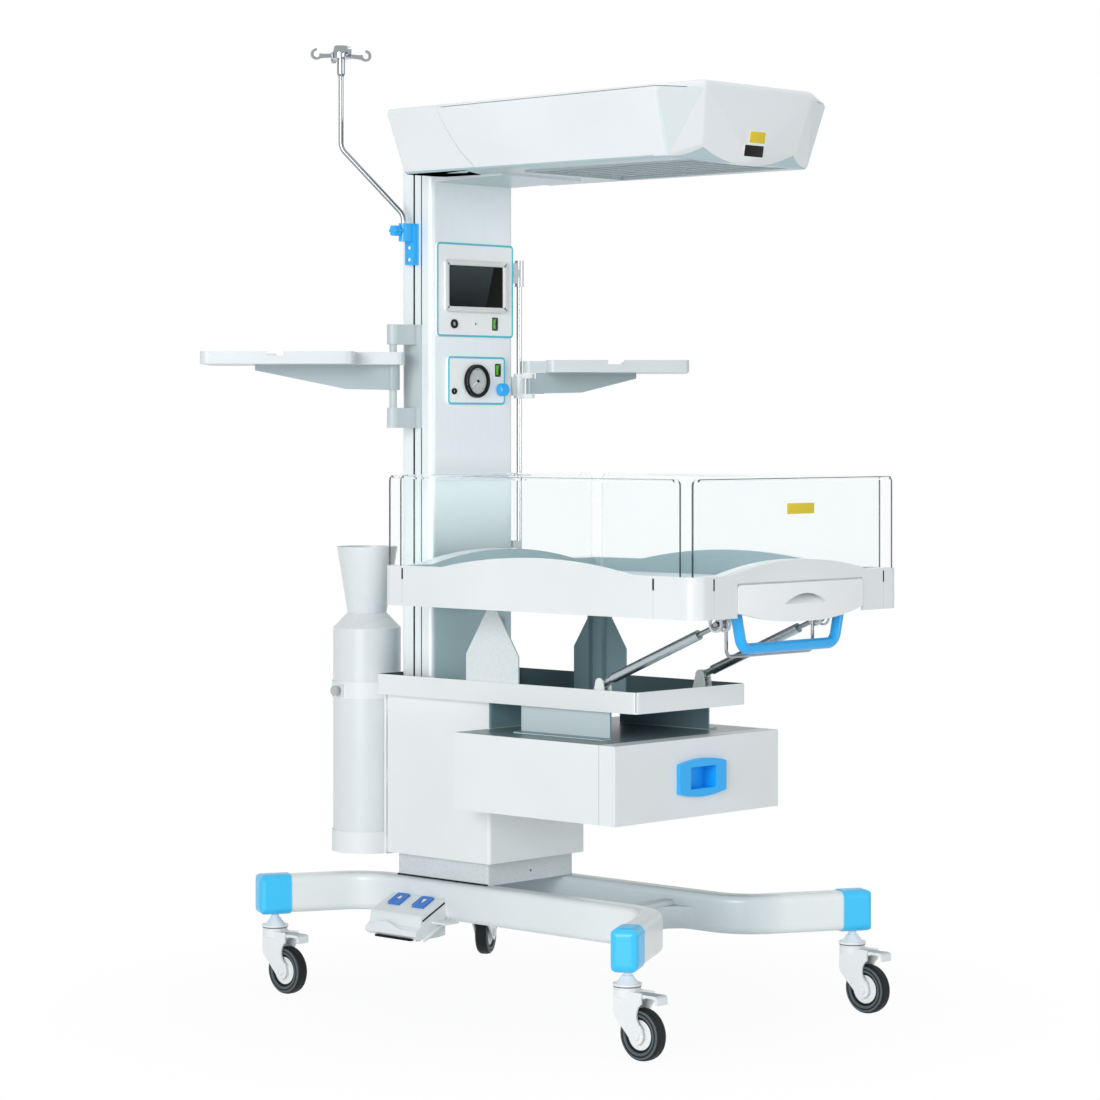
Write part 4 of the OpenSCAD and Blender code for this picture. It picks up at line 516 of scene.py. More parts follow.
nodeFinish = {
    "basePaint": ["base_frame"], "capBlue": ["rail_caps"], "plinthPaint": ["plinth"],
    "shellWhite": ["pedal_housing"], "padBlue": ["pedal_up", "pedal_down"], "cabinetPaint": ["cabinet"],
    "deckPaint": ["platform"], "supportPaint": ["pivot_supports"], "drawerPaint": ["drawer_case"],
    "mastPaint": ["mast"],
    "sheetWhite": ["drawer", "shelf_clamp_right", "cylinder_cradle", "mattress"],
    "gripBlue": ["drawer_handle", "flow_knob", "pole_clamp", "pole_knob", "u_handle"],
    "railMetal": ["accessory_rail", "strap_screw"], "plateWhite": ["upper_panel", "lower_panel"],
    "darkPlastic": ["display", "power_rocker", "flow_rocker"], "hoodShell": ["hood_rear", "hood_front"],
    "hoodWhite": ["hood_top"], "trayGrey": ["heater_housing", "heater_grille"],
    "bracketGrey": ["shelf_bracket_left"], "leftShelf": ["shelf_left"], "rightShelf": ["shelf_right"],
    "cylinderPaint": ["gas_cylinder"],
    "polishedChrome": ["iv_pole", "release_bar", "strut_rod_l", "strut_rod_r"], "bedPaint": ["bed_shell"],
    "trayFront": ["cassette_tray"], "strutSteel": ["strut_cylinder_l", "strut_cylinder_r"],
}
for finish, piece in (("castorPaint", "fork"), ("brakeGrey", "brake"), ("blackRubber", "wheel")):
    nodeFinish[finish] = ["castor_" + piece + "_" + corner for corner in ("fl", "fr", "rl", "rr")]
for side in ("left", "right", "front", "rear"):
    nodeFinish["clearAcrylic_" + side] = ["panel_" + side]

for finish, nodeNames in nodeFinish.items():
    for nodeName in nodeNames:
        slots = nodes[nodeName].data.materials
        if len(slots) == 0:
            slots.append(materials[finish])
        for index in range(len(slots)):
            slots[index] = materials[finish]
bare = set(nodes) - {nodeName for nodeNames in nodeFinish.values() for nodeName in nodeNames}
print("finishes on the nodes, without one:", sorted(bare))


# helpers for the added pieces, each built from bmesh operators
def shift(*place):
    # a place in millimetres as a matrix
    return Matrix.Translation(Vector(place) * mm)


def moved(shape, matrix):
    bmesh.ops.transform(shape, matrix=matrix, verts=shape.verts)
    return shape


def standUp(shape, place):
    # from the XY plane to a face that looks toward -Y, at a place in millimetres
    return moved(shape, shift(*place) @ Matrix.Rotation(math.pi / 2, 4, "X"))


def thicken(shape, way):
    # sweeps the faces along a vector in metres and closes the body
    grown = bmesh.ops.extrude_face_region(shape, geom=shape.faces[:])
    bmesh.ops.translate(shape, vec=way, verts=[v for v in grown["geom"] if isinstance(v, bmesh.types.BMVert)])
    bmesh.ops.recalc_face_normals(shape, faces=shape.faces)
    return shape


def joined(shapes):
    # several shapes as one
    first, *others = shapes
    for other in others:
        spare = bpy.data.meshes.new("spare")
        other.to_mesh(spare)
        other.free()
        first.from_mesh(spare)
        bpy.data.meshes.remove(spare)
    return first


def finishPiece(name, shape, finish, body, smoothAngle=32):
    mesh = bpy.data.meshes.new(name)
    shape.to_mesh(mesh)
    shape.free()
    mesh.materials.append(materials[finish])
    piece = bpy.data.objects.new(name, mesh)
    bpy.context.scene.collection.objects.link(piece)
    mesh.shade_smooth()
    mesh.set_sharp_from_angle(angle=math.radians(smoothAngle))
    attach(piece, body)
    return piece


def turnedShape(profile, steps=64, place=(0, 0, 0), axis="Z"):
    # profile: (radius, height) pairs in millimetres, spun round Z and then laid along the axis
    shape = bmesh.new()
    verts = [shape.verts.new((radius * mm, 0, height * mm)) for radius, height in profile]
    edges = [shape.edges.new(pair) for pair in zip(verts, verts[1:])]
    bmesh.ops.spin(shape, geom=verts + edges, cent=(0, 0, 0), axis=(0, 0, 1), angle=math.tau, steps=steps,
        use_merge=True)
    bmesh.ops.remove_doubles(shape, verts=shape.verts, dist=1e-7)
    bmesh.ops.recalc_face_normals(shape, faces=shape.faces)
    degrees, about = {"Z": (0, "X"), "-Y": (90, "X"), "X": (90, "Y"), "-X": (-90, "Y")}[axis]
    return moved(shape, shift(*place) @ Matrix.Rotation(math.radians(degrees), 4, about))


def blockShape(size, place, edge=1.0, segments=3):
    shape = bmesh.new()
    bmesh.ops.create_cube(shape, size=1.0, matrix=Matrix.Diagonal((*(length * mm for length in size), 1)))
    if edge:
        bmesh.ops.bevel(shape, geom=shape.edges[:], offset=edge * mm, affect="EDGES", segments=segments,
            profile=0.5, material=-1)
    return moved(shape, shift(*place))


def plateShape(width, height, thick, corner, rim=0.0, edge=0.2):
    # rounded plate in the XY plane, grown toward +Z; rim > 0 leaves only a frame of that width
    shape = bmesh.new()
    bmesh.ops.create_grid(shape, x_segments=1, y_segments=1, size=0.5,
        matrix=Matrix.Diagonal((width * mm, height * mm, 1, 1)))
    bmesh.ops.bevel(shape, geom=shape.verts[:], offset=corner * mm, affect="VERTICES", segments=8,
        profile=0.5, material=-1)
    if rim:
        inner = bmesh.ops.inset_region(shape, faces=shape.faces[:], thickness=rim * mm, use_even_offset=True,
            use_boundary=True)
        ring = set(inner["faces"])
        bmesh.ops.delete(shape, geom=[f for f in shape.faces if f not in ring], context="FACES")
    thicken(shape, (0, 0, thick * mm))
    if edge:
        rims = [e for e in shape.edges if e.is_manifold and e.calc_face_angle(0) > 1.2
            and all(v.co.z > thick * mm * 0.5 for v in e.verts)]
        bmesh.ops.bevel(shape, geom=rims, offset=edge * mm, affect="EDGES", segments=2, profile=0.5,
            material=-1)
    return shape


def meetNode(nodeName, origin, direction):
    # where a line first meets a piece's surface, in metres, with the surface's normal
    graph = bpy.context.evaluated_depsgraph_get()
    target = (nodes.get(nodeName) or bpy.data.objects[nodeName]).evaluated_get(graph)
    hit, spot, normal, face = target.ray_cast(Vector(origin), Vector(direction).normalized())
    return (spot, normal) if hit else (None, None)


# control panels
panelSettings = {"upper": (1.5, 1491.5, 231, 199), "lower": (5.5, 1299, 173, 102), "front": 230,
    "border": 4.2, "corner": 9, "gauge": (3, 1298),
    "sockets": (("probe", 9.4, -63.5, 1419), ("vent", 6.4, -63.5, 1276)),
    "rockers": (("power_rocker", 61, 1421), ("flow_rocker", 70, 1322)), "lamp": (0, 1420)}
front = panelSettings["front"]
for label in ("upper", "lower"):
    x, z, width, height = panelSettings[label]
    rim = plateShape(width + 0.4, height + 0.4, 0.5, panelSettings["corner"], rim=panelSettings["border"])
    finishPiece(label + "Border", standUp(rim, (x, front + 0.1, z)), "borderCyan", "lift")


def buildScreenGlass():
    # unlit glass with a slanted pale reflection
    tree, shader = newMaterial("screenGlass")
    place = splitAxes(tree)
    slant = minus(tree, place["X"], times(tree, minus(tree, place["Z"], 1.494), 0.28))
    lit = addRange(tree, slant, 0.0405, 0.0415, 1.0, 0.0)
    fade = addRange(tree, place["Z"], 1.45, 1.545, 0.15, 1.0)
    glow = addMix(tree, times(tree, lit, fade), tone(0.01, 0.012, 0.014), tone(0.24, 0.28, 0.29))
    tree.links.new(glow, shader.inputs["Base Color"])
    grain = addRange(tree, addNoise(tree, coordinate(tree), 30), 0.3, 0.7, 0.08, 0.16)
    tree.links.new(grain, shader.inputs["Roughness"])
    setPlain(shader, Specular_IOR_Level=0.06)


screenSettings = {"bezel": (190, 110, 1.2, 7), "bezelRim": 11, "bezelPlace": (1, front - 4.9, 1500),
    "glass": (164, 97, 0.5, 1.5), "glassPlace": (0, front - 2.5, 1494.5)}
buildScreenGlass()
bezel = plateShape(*screenSettings["bezel"], rim=screenSettings["bezelRim"], edge=0.8)
finishPiece("screenBezel", standUp(bezel, screenSettings["bezelPlace"]), "bezelWhite", "lift")
screen = plateShape(*screenSettings["glass"], edge=0.1)
finishPiece("screenGlass", standUp(screen, screenSettings["glassPlace"]), "screenGlass", "lift")

gaugeSettings = {"ticks": 25, "start": 225, "sweep": 270, "face": 225.9, "long": (4.2, 0.9, 23.6),
    "short": (2.4, 0.5, 24.4)}
gaugeX, gaugeZ = panelSettings["gauge"]
ring = turnedShape([(27.8, 3), (27.8, 9.0), (28.6, 9.9), (30.6, 10.5), (33.2, 10.2), (34.9, 9.2), (35.6, 7.6),
    (35.6, 0)], 96, (gaugeX, front + 0.6, gaugeZ), "-Y")
finishPiece("gaugeRing", ring, "darkPlastic", "lift")
dial = turnedShape([(0, 0), (27.4, 0), (27.4, 0.5), (0, 0.5)], 96, (gaugeX, gaugeSettings["face"], gaugeZ),
    "-Y")
finishPiece("gaugeDial", dial, "gaugeGrey", "lift")


def tickShape(step):
    # one bar of the gauge's scale, where every fourth is a long one
    length, width, radius = gaugeSettings["short" if step % 4 else "long"]
    turned = step * gaugeSettings["sweep"] / (gaugeSettings["ticks"] - 1)
    angle = math.radians(gaugeSettings["start"] - turned)
    tick = blockShape((length, 0.25, width), (0, 0, 0), edge=0)
    return moved(tick, shift(gaugeX, gaugeSettings["face"] - 0.55, gaugeZ) @ Matrix.Rotation(-angle, 4, "Y")
        @ shift(radius, 0, 0))


ticks = joined([tickShape(step) for step in range(gaugeSettings["ticks"])])
finishPiece("gaugeMarks", ticks, "darkPlastic", "lift")
hub = turnedShape([(0, 0), (3.2, 0), (3.2, 1.4), (2.4, 2.0), (0, 2.2)], 32, (gaugeX, 223.4, gaugeZ), "-Y")
finishPiece("gaugeHub", hub, "darkPlastic", "lift")

for label, outer, x, z in panelSettings["sockets"]:
    socket = turnedShape([(outer * 0.5, 0.4), (outer * 0.55, 3.6), (outer * 0.75, 4.2), (outer, 3.6),
        (outer + 0.4, 0)], 48, (x, front + 0.1, z), "-Y")
    finishPiece(label + "Socket", socket, "darkPlastic", "lift")
lampX, lampZ = panelSettings["lamp"]
lens = turnedShape([(0, 3.4), (1.6, 3.1), (2.6, 2.2), (2.9, 1.2), (2.9, 0)], 32, (lampX, front - 0.1, lampZ),
    "-Y")
finishPiece("readyLamp", lens, "lampGreen", "lift")


def buildRockerPaint(name, middle):
    # green half on the left, black half on the right
    tree, shader = newMaterial(name)
    half = addRange(tree, splitAxes(tree)["X"], (middle - 0.3) * mm, (middle + 0.3) * mm, 0, 1)
    skin = placeGroup(tree, shader, paintSkin, Paint=tone(0.36, 0.78, 0.12), Fleck=tone(0.2, 0.5, 0.06),
        Fleck_Share=0.1, Gloss_Low=0.2, Gloss_High=0.3)
    tree.links.new(addMix(tree, half, skin["Color"], tone(0.05, 0.055, 0.06)), shader.inputs["Base Color"])


for rockerName, x, z in panelSettings["rockers"]:
    rockerFrame = standUp(plateShape(17, 28, 1.0, 2.2, rim=1.9, edge=0.3), (x, front + 0.1, z))
    finishPiece(rockerName + "Frame", rockerFrame, "darkPlastic", "lift")
    buildRockerPaint(rockerName + "Paint", x)
    nodes[rockerName].data.materials[0] = materials[rockerName + "Paint"]
print("control panels dressed")


# bare label places on the hood and the front panel
labelSettings = {"thick": 0.35, "corner": 1.5, "gap": 0.05, "edge": (3.5, 3), "hoodHeight": 22.5,
    "hood": (("Yellow", 0.009, 1.7715, 47), ("Black", 0.003, 1.7445, 57)), "panel": (0.013, 1.041, 84, 21)}


def labelOn(name, nodeName, x, z, width, height, finish, body):
    # a thin plate on the first surface behind a point seen from the front, with x and z in metres
    spot, normal = meetNode(nodeName, (x, -1.2, z), (0, 1, 0))
    side = Vector((0, 0, 1)).cross(normal).normalized()
    turn = Matrix((side, normal.cross(side), normal)).transposed().to_4x4()
    patch = plateShape(width, height, labelSettings["thick"], labelSettings["corner"], edge=0.1)
    moved(patch, Matrix.Translation(spot + normal * labelSettings["gap"] * mm) @ turn)
    finishPiece(name, patch, finish, body)


for patch, x, z, width in labelSettings["hood"]:
    height, (edgeX, edgeZ) = labelSettings["hoodHeight"], labelSettings["edge"]
    labelOn("labelEdge" + patch, "hood_front", x, z, width + edgeX, height + edgeZ, "plateWhite", "lift")
    labelOn("label" + patch + "Hood", "labelEdge" + patch, x, z, width, height, "label" + patch, "lift")
labelOn("labelYellowPanel", "panel_front", *labelSettings["panel"], "labelYellow", "panel_front")
print("label places set")

# black blocks in the bed's corner slots, painted shade in the openings, and the bolts of the pole clamp
slotSettings = {"deep": 2.4, "wide": 4.4, "high": 22.2, "z": 900.5, "sideX": 315.9, "sideY": (-558, 126),
    "endX": (-262, 262), "endY": (-661.4, 186.4)}
slotShadeSpots = [(slotSettings["deep"], slotSettings["wide"], side * slotSettings["sideX"], y)
    for side in (-1, 1) for y in slotSettings["sideY"]]
slotShadeSpots += [(slotSettings["wide"], slotSettings["deep"], x, y)
    for y in slotSettings["endY"] for x in slotSettings["endX"]]
high, slotShadeZ = slotSettings["high"], slotSettings["z"]
slotShades = joined([blockShape((sizeX, sizeY, high), (x, y, slotShadeZ), edge=0.4, segments=2)
    for sizeX, sizeY, x, y in slotShadeSpots])
finishPiece("slotShadeBlocks", slotShades, "labelBlack", "bed")

boltSettings = {"profile": [(0, 3.2), (2.2, 3.1), (3.9, 2.4), (4.5, 1.2), (4.5, 0), (0, 0)], "x": -136.8,
    "y": 288, "z": (1554, 1579)}
bolts = joined([turnedShape(boltSettings["profile"], 32, (boltSettings["x"], boltSettings["y"], z), "-X")
    for z in boltSettings["z"]])
finishPiece("clampBolts", bolts, "plateWhite", "pole_clamp")
print("inserts and clamp bolts set")

# dark strip at the plinth's foot, along the left rail: painted shade where the plinth meets the rail
plinthShadeSettings = {"size": (3, 268, 3.2), "place": (-130.2, 198.5, 249.8)}
plinthShadeStrip = blockShape(plinthShadeSettings["size"], plinthShadeSettings["place"], segments=2)
finishPiece("plinthShadeStrip", plinthShadeStrip, "darkPlastic", "base")

# matt black plate under the hood's rear corner, beside the mast: painted shadow under the hood
hoodShadowSettings = {"corners": [(-218, 214), (-218, 42), (-127, 88), (-127, 190), (-156, 202)], "gap": 0.4,
    "thick": 0.6}
# vent holds the black plate that paints the shadow under the hood
vent = bmesh.new()
hoodShadowSpots = [meetNode("hood_rear", (x * mm, y * mm, 1.5), (0, 0, 1))[0] for x, y in hoodShadowSettings["corners"]]
vent.faces.new([vent.verts.new(spot - Vector((0, 0, hoodShadowSettings["gap"] * mm))) for spot in hoodShadowSpots])
thicken(vent, (0, 0, -hoodShadowSettings["thick"] * mm))
finishPiece("hoodShadowPlate", vent, "hoodShadowBlack", "lift")

# thin seal that closes the top cover's gap across the hood's front, in metres
sealSettings = {"low": 1.8550, "high": 1.8576, "reach": 0.2, "steps": 40, "sunk": 0.0002, "thick": 0.0012}
seal, sealRows = bmesh.new(), []
for step in range(sealSettings["steps"] + 1):
    x = -sealSettings["reach"] + 2 * sealSettings["reach"] * step / sealSettings["steps"]
    meets = [meetNode(nodeName, (x, -1.2, z), (0, 1, 0))
        for nodeName, z in (("hood_front", sealSettings["low"]), ("hood_top", sealSettings["high"]))]
    if all(spot is not None for spot, normal in meets):
        sealRows.append([seal.verts.new(spot - normal * sealSettings["sunk"]) for spot, normal in meets])
for (a, b), (c, d) in zip(sealRows, sealRows[1:]):
    seal.faces.new((a, c, d, b))
thicken(seal, (0, sealSettings["thick"], 0))
finishPiece("hoodFrontSeal", seal, "hoodShell", "lift")
print("hood seal with", len(sealRows), "stations")

# mattress: a thin foam cushion in a wipeable cover, with piping round its seam
cushionSettings = {"voxel": 0.005, "shrink": (0.985, 0.99, 0.9), "pressure": 4, "frames": 20, "cap": 0.005,
    "side": 0.0005, "foot": 0.0003, "crown": 0.004}


def buildCushionCover():
    # coated nylon cover: a fine weave in the bump and soft sheen
    tree, shader = newMaterial("mattressCover")
    placeGroup(tree, shader, paintSkin, Paint=tone(0.74, 0.81, 0.86), Fleck=tone(0.66, 0.74, 0.8),
        Fleck_Scale=380.0, Fleck_Share=0.25, Gloss_Low=0.5, Gloss_High=0.66)
    place = splitAxes(tree)
    warp, weft = [addMath(tree, "SINE", times(tree, place[axis], 5200)) for axis in "XY"]
    addBump(tree, shader, times(tree, warp, weft), 0.12, 0.0002)
    setPlain(shader, Sheen_Weight=0.2)


def swellCushion(cushion, low, high):
    # even mesh, blown up by cloth pressure and kept in the space that the CAD cushion holds
    bpy.context.view_layer.objects.active = cushion
    cushion.select_set(True)
    cushion.data.remesh_voxel_size = cushionSettings["voxel"]
    bpy.ops.object.voxel_remesh()
    rest = [v.co.copy() for v in cushion.data.vertices]
    cloth = cushion.modifiers.new("Cloth", "CLOTH")
    cloth.settings.use_pressure = True
    cloth.settings.uniform_pressure_force = cushionSettings["pressure"]
    cloth.settings.effector_weights.gravity = 0
    cloth.point_cache.frame_start = 1
    cloth.point_cache.frame_end = cushionSettings["frames"]
    for frameNumber in range(1, cushionSettings["frames"] + 1):
        bpy.context.scene.frame_set(frameNumber)
    graph = bpy.context.evaluated_depsgraph_get()
    swollen = [v.co.copy() for v in cushion.evaluated_get(graph).data.vertices]
    cushion.modifiers.remove(cloth)
    bpy.context.scene.frame_set(1)
    side, foot, crown = (cushionSettings[label] for label in ("side", "foot", "crown"))
    for vert, start, end in zip(cushion.data.vertices, rest, swollen):
        move = end - start
        if move.length > cushionSettings["cap"]:
            move *= cushionSettings["cap"] / move.length
        spot = start + move
        spot.x = min(max(spot.x, low.x + side), high.x - side)
        spot.y = min(max(spot.y, low.y + side), high.y - side)
        spot.z = min(max(spot.z, low.z + foot), high.z + crown)
        vert.co = spot
    soften = cushion.modifiers.new("Subdivision", "SUBSURF")
    soften.levels = soften.render_levels = 1
    bpy.ops.object.modifier_apply(modifier="Subdivision")
    cushion.data.materials.clear()
    cushion.data.materials.append(materials["mattressCover"])
    cushion.data.shade_smooth()
    cushion.select_set(False)
    print("mattress cushion simulated,", len(cushion.data.polygons), "faces")


buildCushionCover()
cushionShape = bmesh.new()
cushionShape.from_mesh(nodes["mattress"].data)
bmesh.ops.remove_doubles(cushionShape, verts=cushionShape.verts, dist=1e-6)
cushionLow = Vector([min(v.co[axis] for v in cushionShape.verts) for axis in range(3)])
cushionHigh = Vector([max(v.co[axis] for v in cushionShape.verts) for axis in range(3)])
cushionFoot = Vector(((cushionLow.x + cushionHigh.x) / 2, (cushionLow.y + cushionHigh.y) / 2,
    cushionLow.z + cushionSettings["foot"]))
moved(cushionShape, Matrix.Translation(cushionFoot) @ Matrix.Diagonal((*cushionSettings["shrink"], 1))
    @ Matrix.Translation(-cushionFoot))
cushion = finishPiece("mattressCushion", cushionShape, "mattressCover", "bed", 60)
swellCushion(cushion, cushionLow, cushionHigh)
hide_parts("mattress")

pipingSettings = {"rise": 0.0085, "radius": 0.0013, "inset": 0.0016, "corner": 0.022, "sides": 10}


def pipingLoop():
    # a round cord sewn along the cover's edge
    corner, sides = pipingSettings["corner"], pipingSettings["sides"]
    radius = pipingSettings["radius"]
    z = cushionLow.z + pipingSettings["rise"]
    half = (cushionHigh - cushionLow) / 2 - Vector((1, 1, 1)) * pipingSettings["inset"]
    middle = (cushionHigh + cushionLow) / 2
    path = []
    for quarter, (sx, sy) in enumerate(((1, 1), (-1, 1), (-1, -1), (1, -1))):
        for step in range(9):
            angle = math.radians(90 * quarter + step * 90 / 8)
            path.append(Vector((middle.x + sx * (half.x - corner) + corner * math.cos(angle),
                middle.y + sy * (half.y - corner) + corner * math.sin(angle), z)))
    shape, rings, up = bmesh.new(), [], Vector((0, 0, 1))
    angles = [math.tau * k / sides for k in range(sides)]
    for index, spot in enumerate(path):
        out = (path[(index + 1) % len(path)] - path[index - 1]).normalized().cross(up)
        rings.append([shape.verts.new(spot + radius * (out * math.cos(a) + up * math.sin(a)))
            for a in angles])
    for ring, after in zip(rings, rings[1:] + rings[:1]):
        for k in range(sides):
            shape.faces.new((ring[k], ring[(k + 1) % sides], after[(k + 1) % sides], after[k]))
    bmesh.ops.recalc_face_normals(shape, faces=shape.faces)
    return shape


finishPiece("mattressPiping", pipingLoop(), "pipingGrey", "bed", 60)
print("mattress made")

# castors: two-tone wheels, axle nuts, stem collars and swivel seals
castorSettings = {"trail": 40, "axle": 50, "nutReach": 20, "collarFoot": 143, "sealFoot": 136.6,
    "stems": {"fl": (-346, -518, 0), "fr": (346, -518, 0), "rl": (-313, 518, 0), "rr": (313, 518, 120)}}
nutProfile = [(0, 4.6), (3.4, 4.4), (5.2, 3.6), (8.6, 3.4), (9.2, 2.6), (9.4, 0.2), (0, 0.2)]
collarProfile = [(8.2, 15.4), (11, 15), (12.6, 12.5), (14.3, 9.8), (18.3, 5.2), (22.3, 0.6), (22.3, 0.1)]
sealProfile = [(25.1, 0), (27, 0.1), (27.3, 0.8), (27.3, 1.6), (27, 2.2), (25.1, 2.3)]


def buildWheelRubber(name, x, y, angle):
    # dark tyre with a centre groove, two grey bands that stand for grey rings and for their painted
    # highlight, and a white core, in the wheel's own turned frame
    tree, shader = newMaterial(name)
    trail = castorSettings["trail"]
    centre = addNode(tree, "ShaderNodeMapping", vector_type="TEXTURE")
    setPlain(centre, Rotation=(0, 0, angle), Location=((x + trail * math.sin(angle)) * mm,
        (y - trail * math.cos(angle)) * mm, castorSettings["axle"] * mm))
    tree.links.new(coordinate(tree), centre.inputs["Vector"])
    split = addNode(tree, "ShaderNodeSeparateXYZ")
    tree.links.new(centre.outputs[0], split.inputs[0])
    axes = split.outputs
    radius = addMath(tree, "SQRT", addMath(tree, "ADD", times(tree, axes["Y"], axes["Y"]),
        times(tree, axes["Z"], axes["Z"])))
    skin = placeGroup(tree, shader, paintSkin, Paint=tone(0.1, 0.115, 0.125), Fleck=tone(0.05, 0.055, 0.06),
        Fleck_Scale=900.0, Fleck_Share=0.5, Gloss_Low=0.5, Gloss_High=0.66)
    ringBandsAndHighlights = [times(tree, addRange(tree, radius, low, low + 0.001, 0, 1),
        addRange(tree, radius, high, high + 0.001, 1, 0)) for low, high in ((0.0335, 0.0385), (0.042, 0.046))]
    ringed = addMix(tree, addMath(tree, "MAXIMUM", *ringBandsAndHighlights), skin["Color"], tone(0.36, 0.4, 0.42))
    core = addRange(tree, radius, 0.0285, 0.029, 1, 0)
    tree.links.new(addMix(tree, core, ringed, tone(0.96, 0.97, 0.97)), shader.inputs["Base Color"])
    setPlain(shader, Specular_IOR_Level=0.2)
    groove = times(tree, addRange(tree, absolute(tree, axes["X"]), 0.0035, 0.0045, 1, 0),
        addRange(tree, radius, 0.047, 0.0475, 0, 1))
    addBump(tree, shader, minus(tree, skin["Height"], times(tree, groove, 3.0)), 0.5, 0.0006)


for corner, (x, y, turn) in castorSettings["stems"].items():
    angle = math.radians(turn)
    buildWheelRubber("wheelRubber_" + corner, x, y, angle)
    nodes["castor_wheel_" + corner].data.materials[0] = materials["wheelRubber_" + corner]
    nuts = []
    for axis, sign in (("-X", -1), ("X", 1)):
        nutPlace = shift(sign * castorSettings["nutReach"], -castorSettings["trail"], castorSettings["axle"])
        nut = turnedShape(nutProfile, 32, (0, 0, 0), axis)
        nuts.append(moved(nut, shift(x, y, 0) @ Matrix.Rotation(angle, 4, "Z") @ nutPlace))
    finishPiece("axleNuts_" + corner, joined(nuts), "castorPaint", "castor_" + corner)
    collar = turnedShape(collarProfile, 48, (x, y, castorSettings["collarFoot"]))
    finishPiece("stemCollar_" + corner, collar, "castorPaint", "castor_" + corner)
    swivelSeal = turnedShape(sealProfile, 48, (x, y, castorSettings["sealFoot"]))
    finishPiece("swivelSeal_" + corner, swivelSeal, "sealGrey", "castor_" + corner)
print("castors dressed")

# pedal unit: black strips as painted shade in the gap under the cover plate, tray lips and the foot strip
pedalSettings = {"x": -151, "back": 320, "width": 152, "reach": 70, "top": 214, "floor": 131, "slope": 26,
    "run": 72, "plate": 9, "gap": 3.4, "lip": (88, 6, 6), "strip": (9, 106, 4.6), "arch": 13, "archSteps": 32,
    "padOffset": 36, "padX": -174, "arrow": 8.5}
pedalMid = pedalSettings["back"] - pedalSettings["width"] / 2
pedalFront = pedalSettings["x"] - pedalSettings["reach"]
slopeTurn = Matrix.Rotation(math.radians(-pedalSettings["slope"]), 4, "Y")
slopeFrame = shift(pedalSettings["x"] - 6, pedalMid, pedalSettings["top"]) @ slopeTurn


def slopeBlock(size, place, edge, segments=3):
    # block in the slope's own frame: X runs up toward the rail, Z out of the top face
    return moved(blockShape(size, place, edge=edge, segments=segments), slopeFrame)


run, width, plate, gap = (pedalSettings[label] for label in ("run", "width", "plate", "gap"))
gapShadeStrips = [slopeBlock((2, width + 1.8, gap), (0.3 - run, 0, -plate), 0.3, 2)]
gapShadeStrips += [slopeBlock((run, 2, gap), (-run / 2, side * (width / 2 - 0.1), -plate), 0.3, 2)
    for side in (-1, 1)]
finishPiece("pedalGapShade", joined(gapShadeStrips), "darkPlastic", "base")
sideLip = slopeBlock(pedalSettings["lip"], (-46, -width / 2 - 2.6, -46), 1.6)
finishPiece("pedalSideLip", sideLip, "shellWhite", "base")
stripPlace = (pedalFront - 8, pedalMid - 2, pedalSettings["floor"] + 3.4)
footStrip = blockShape(pedalSettings["strip"], stripPlace, edge=0.8)
finishPiece("pedalFootStrip", footStrip, "blackRubber", "base")

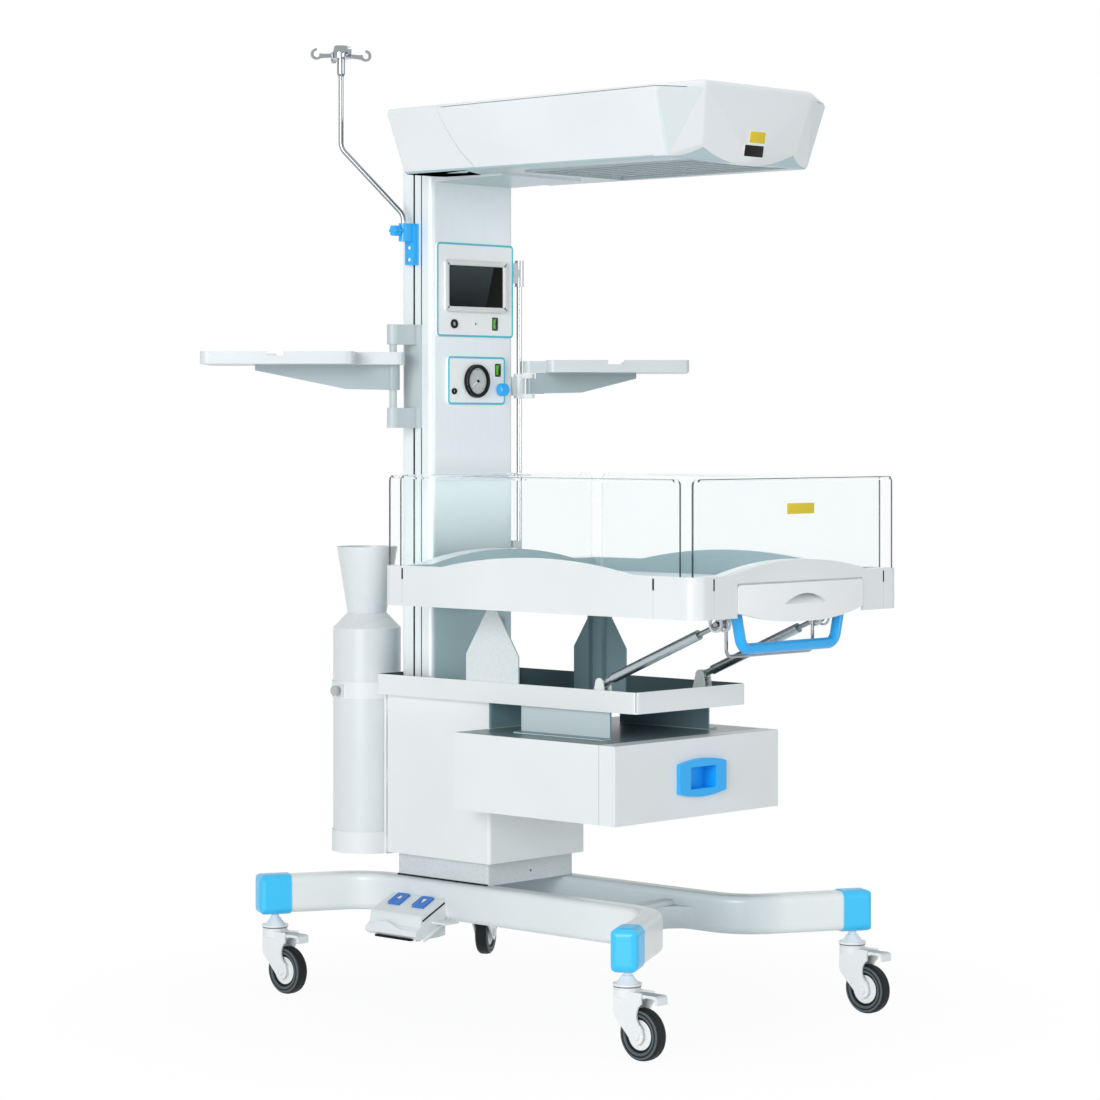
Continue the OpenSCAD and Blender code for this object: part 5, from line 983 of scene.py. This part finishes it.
arch, archRows = bmesh.new(), []
foot, lipX = pedalSettings["floor"] + 15, pedalFront - 16.4
for step in range(pedalSettings["archSteps"] + 1):
    part = step / pedalSettings["archSteps"]
    y = pedalSettings["back"] - 2 - part * (width - 4)
    top = foot + 8 + pedalSettings["arch"] * math.sin(math.pi * min(part / 0.72, 1)) ** 1.6
    outline = ((lipX, foot), (lipX + 1.2, top), (lipX + 2.6, top + 1), (lipX + 4.2, top), (lipX + 4.2, foot))
    archRows.append([arch.verts.new(Vector((x, y, z)) * mm) for x, z in outline])
for row, after in zip(archRows, archRows[1:]):
    for k in range(5):
        arch.faces.new((row[k], row[(k + 1) % 5], after[(k + 1) % 5], after[k]))
for row in (archRows[0], archRows[-1]):
    arch.faces.new(row)
bmesh.ops.recalc_face_normals(arch, faces=arch.faces)
finishPiece("pedalFrontLip", arch, "shellWhite", "base", 40)
print("pedal unit dressed")

# arrow on each pedal pad, one up and one down the slope
for padName, side, degrees in (("pedal_up", 1, -90), ("pedal_down", -1, 90)):
    arrow = bmesh.new()
    bmesh.ops.create_circle(arrow, cap_ends=True, radius=pedalSettings["arrow"] * mm, segments=3)
    bmesh.ops.scale(arrow, vec=(0.85, 1.1, 1), verts=arrow.verts)
    thicken(arrow, (0, 0, 0.0006))
    padY = pedalMid + side * pedalSettings["padOffset"]
    spot, normal = meetNode(padName, (pedalSettings["padX"] * mm, padY * mm, 0.4), (0, 0, -1))
    moved(arrow, Matrix.Translation(spot - normal * 0.00035) @ slopeTurn
        @ Matrix.Rotation(math.radians(degrees), 4, "Z"))
    finishPiece(padName + "Mark", arrow, "plateWhite", padName)
print("pedals marked")


# floor, white everywhere but under the object, where the shadow stays
def buildFloorWhite():
    tree, shader = newMaterial("floorWhite")
    setPlain(shader, Base_Color=(0.9, 0.91, 0.92, 1), Roughness=0.9, Specular_IOR_Level=0.1)
    glow = addNode(tree, "ShaderNodeEmission")
    setPlain(glow, Strength=1.0)
    reach = addNode(tree, "ShaderNodeVectorMath", operation="LENGTH")
    tree.links.new(coordinate(tree), reach.inputs[0])
    share = times(tree, sightRays(tree), addRange(tree, reach.outputs["Value"], 0.3, 1.2, 0.93, 1.0))
    tree.links.new(addShaderMix(tree, share, shader.outputs[0], glow.outputs[0]),
        tree.nodes["Material Output"].inputs["Surface"])


floorSettings = {"radius": 30, "segments": 64}
buildFloorWhite()
floorShape = bmesh.new()
bmesh.ops.create_circle(floorShape, cap_ends=True, **floorSettings)
floorMesh = bpy.data.meshes.new("floor")
floorShape.to_mesh(floorMesh)
floorShape.free()
floorMesh.materials.append(materials["floorWhite"])
floorObject = bpy.data.objects.new("floor", floorMesh)
bpy.context.scene.collection.objects.link(floorObject)
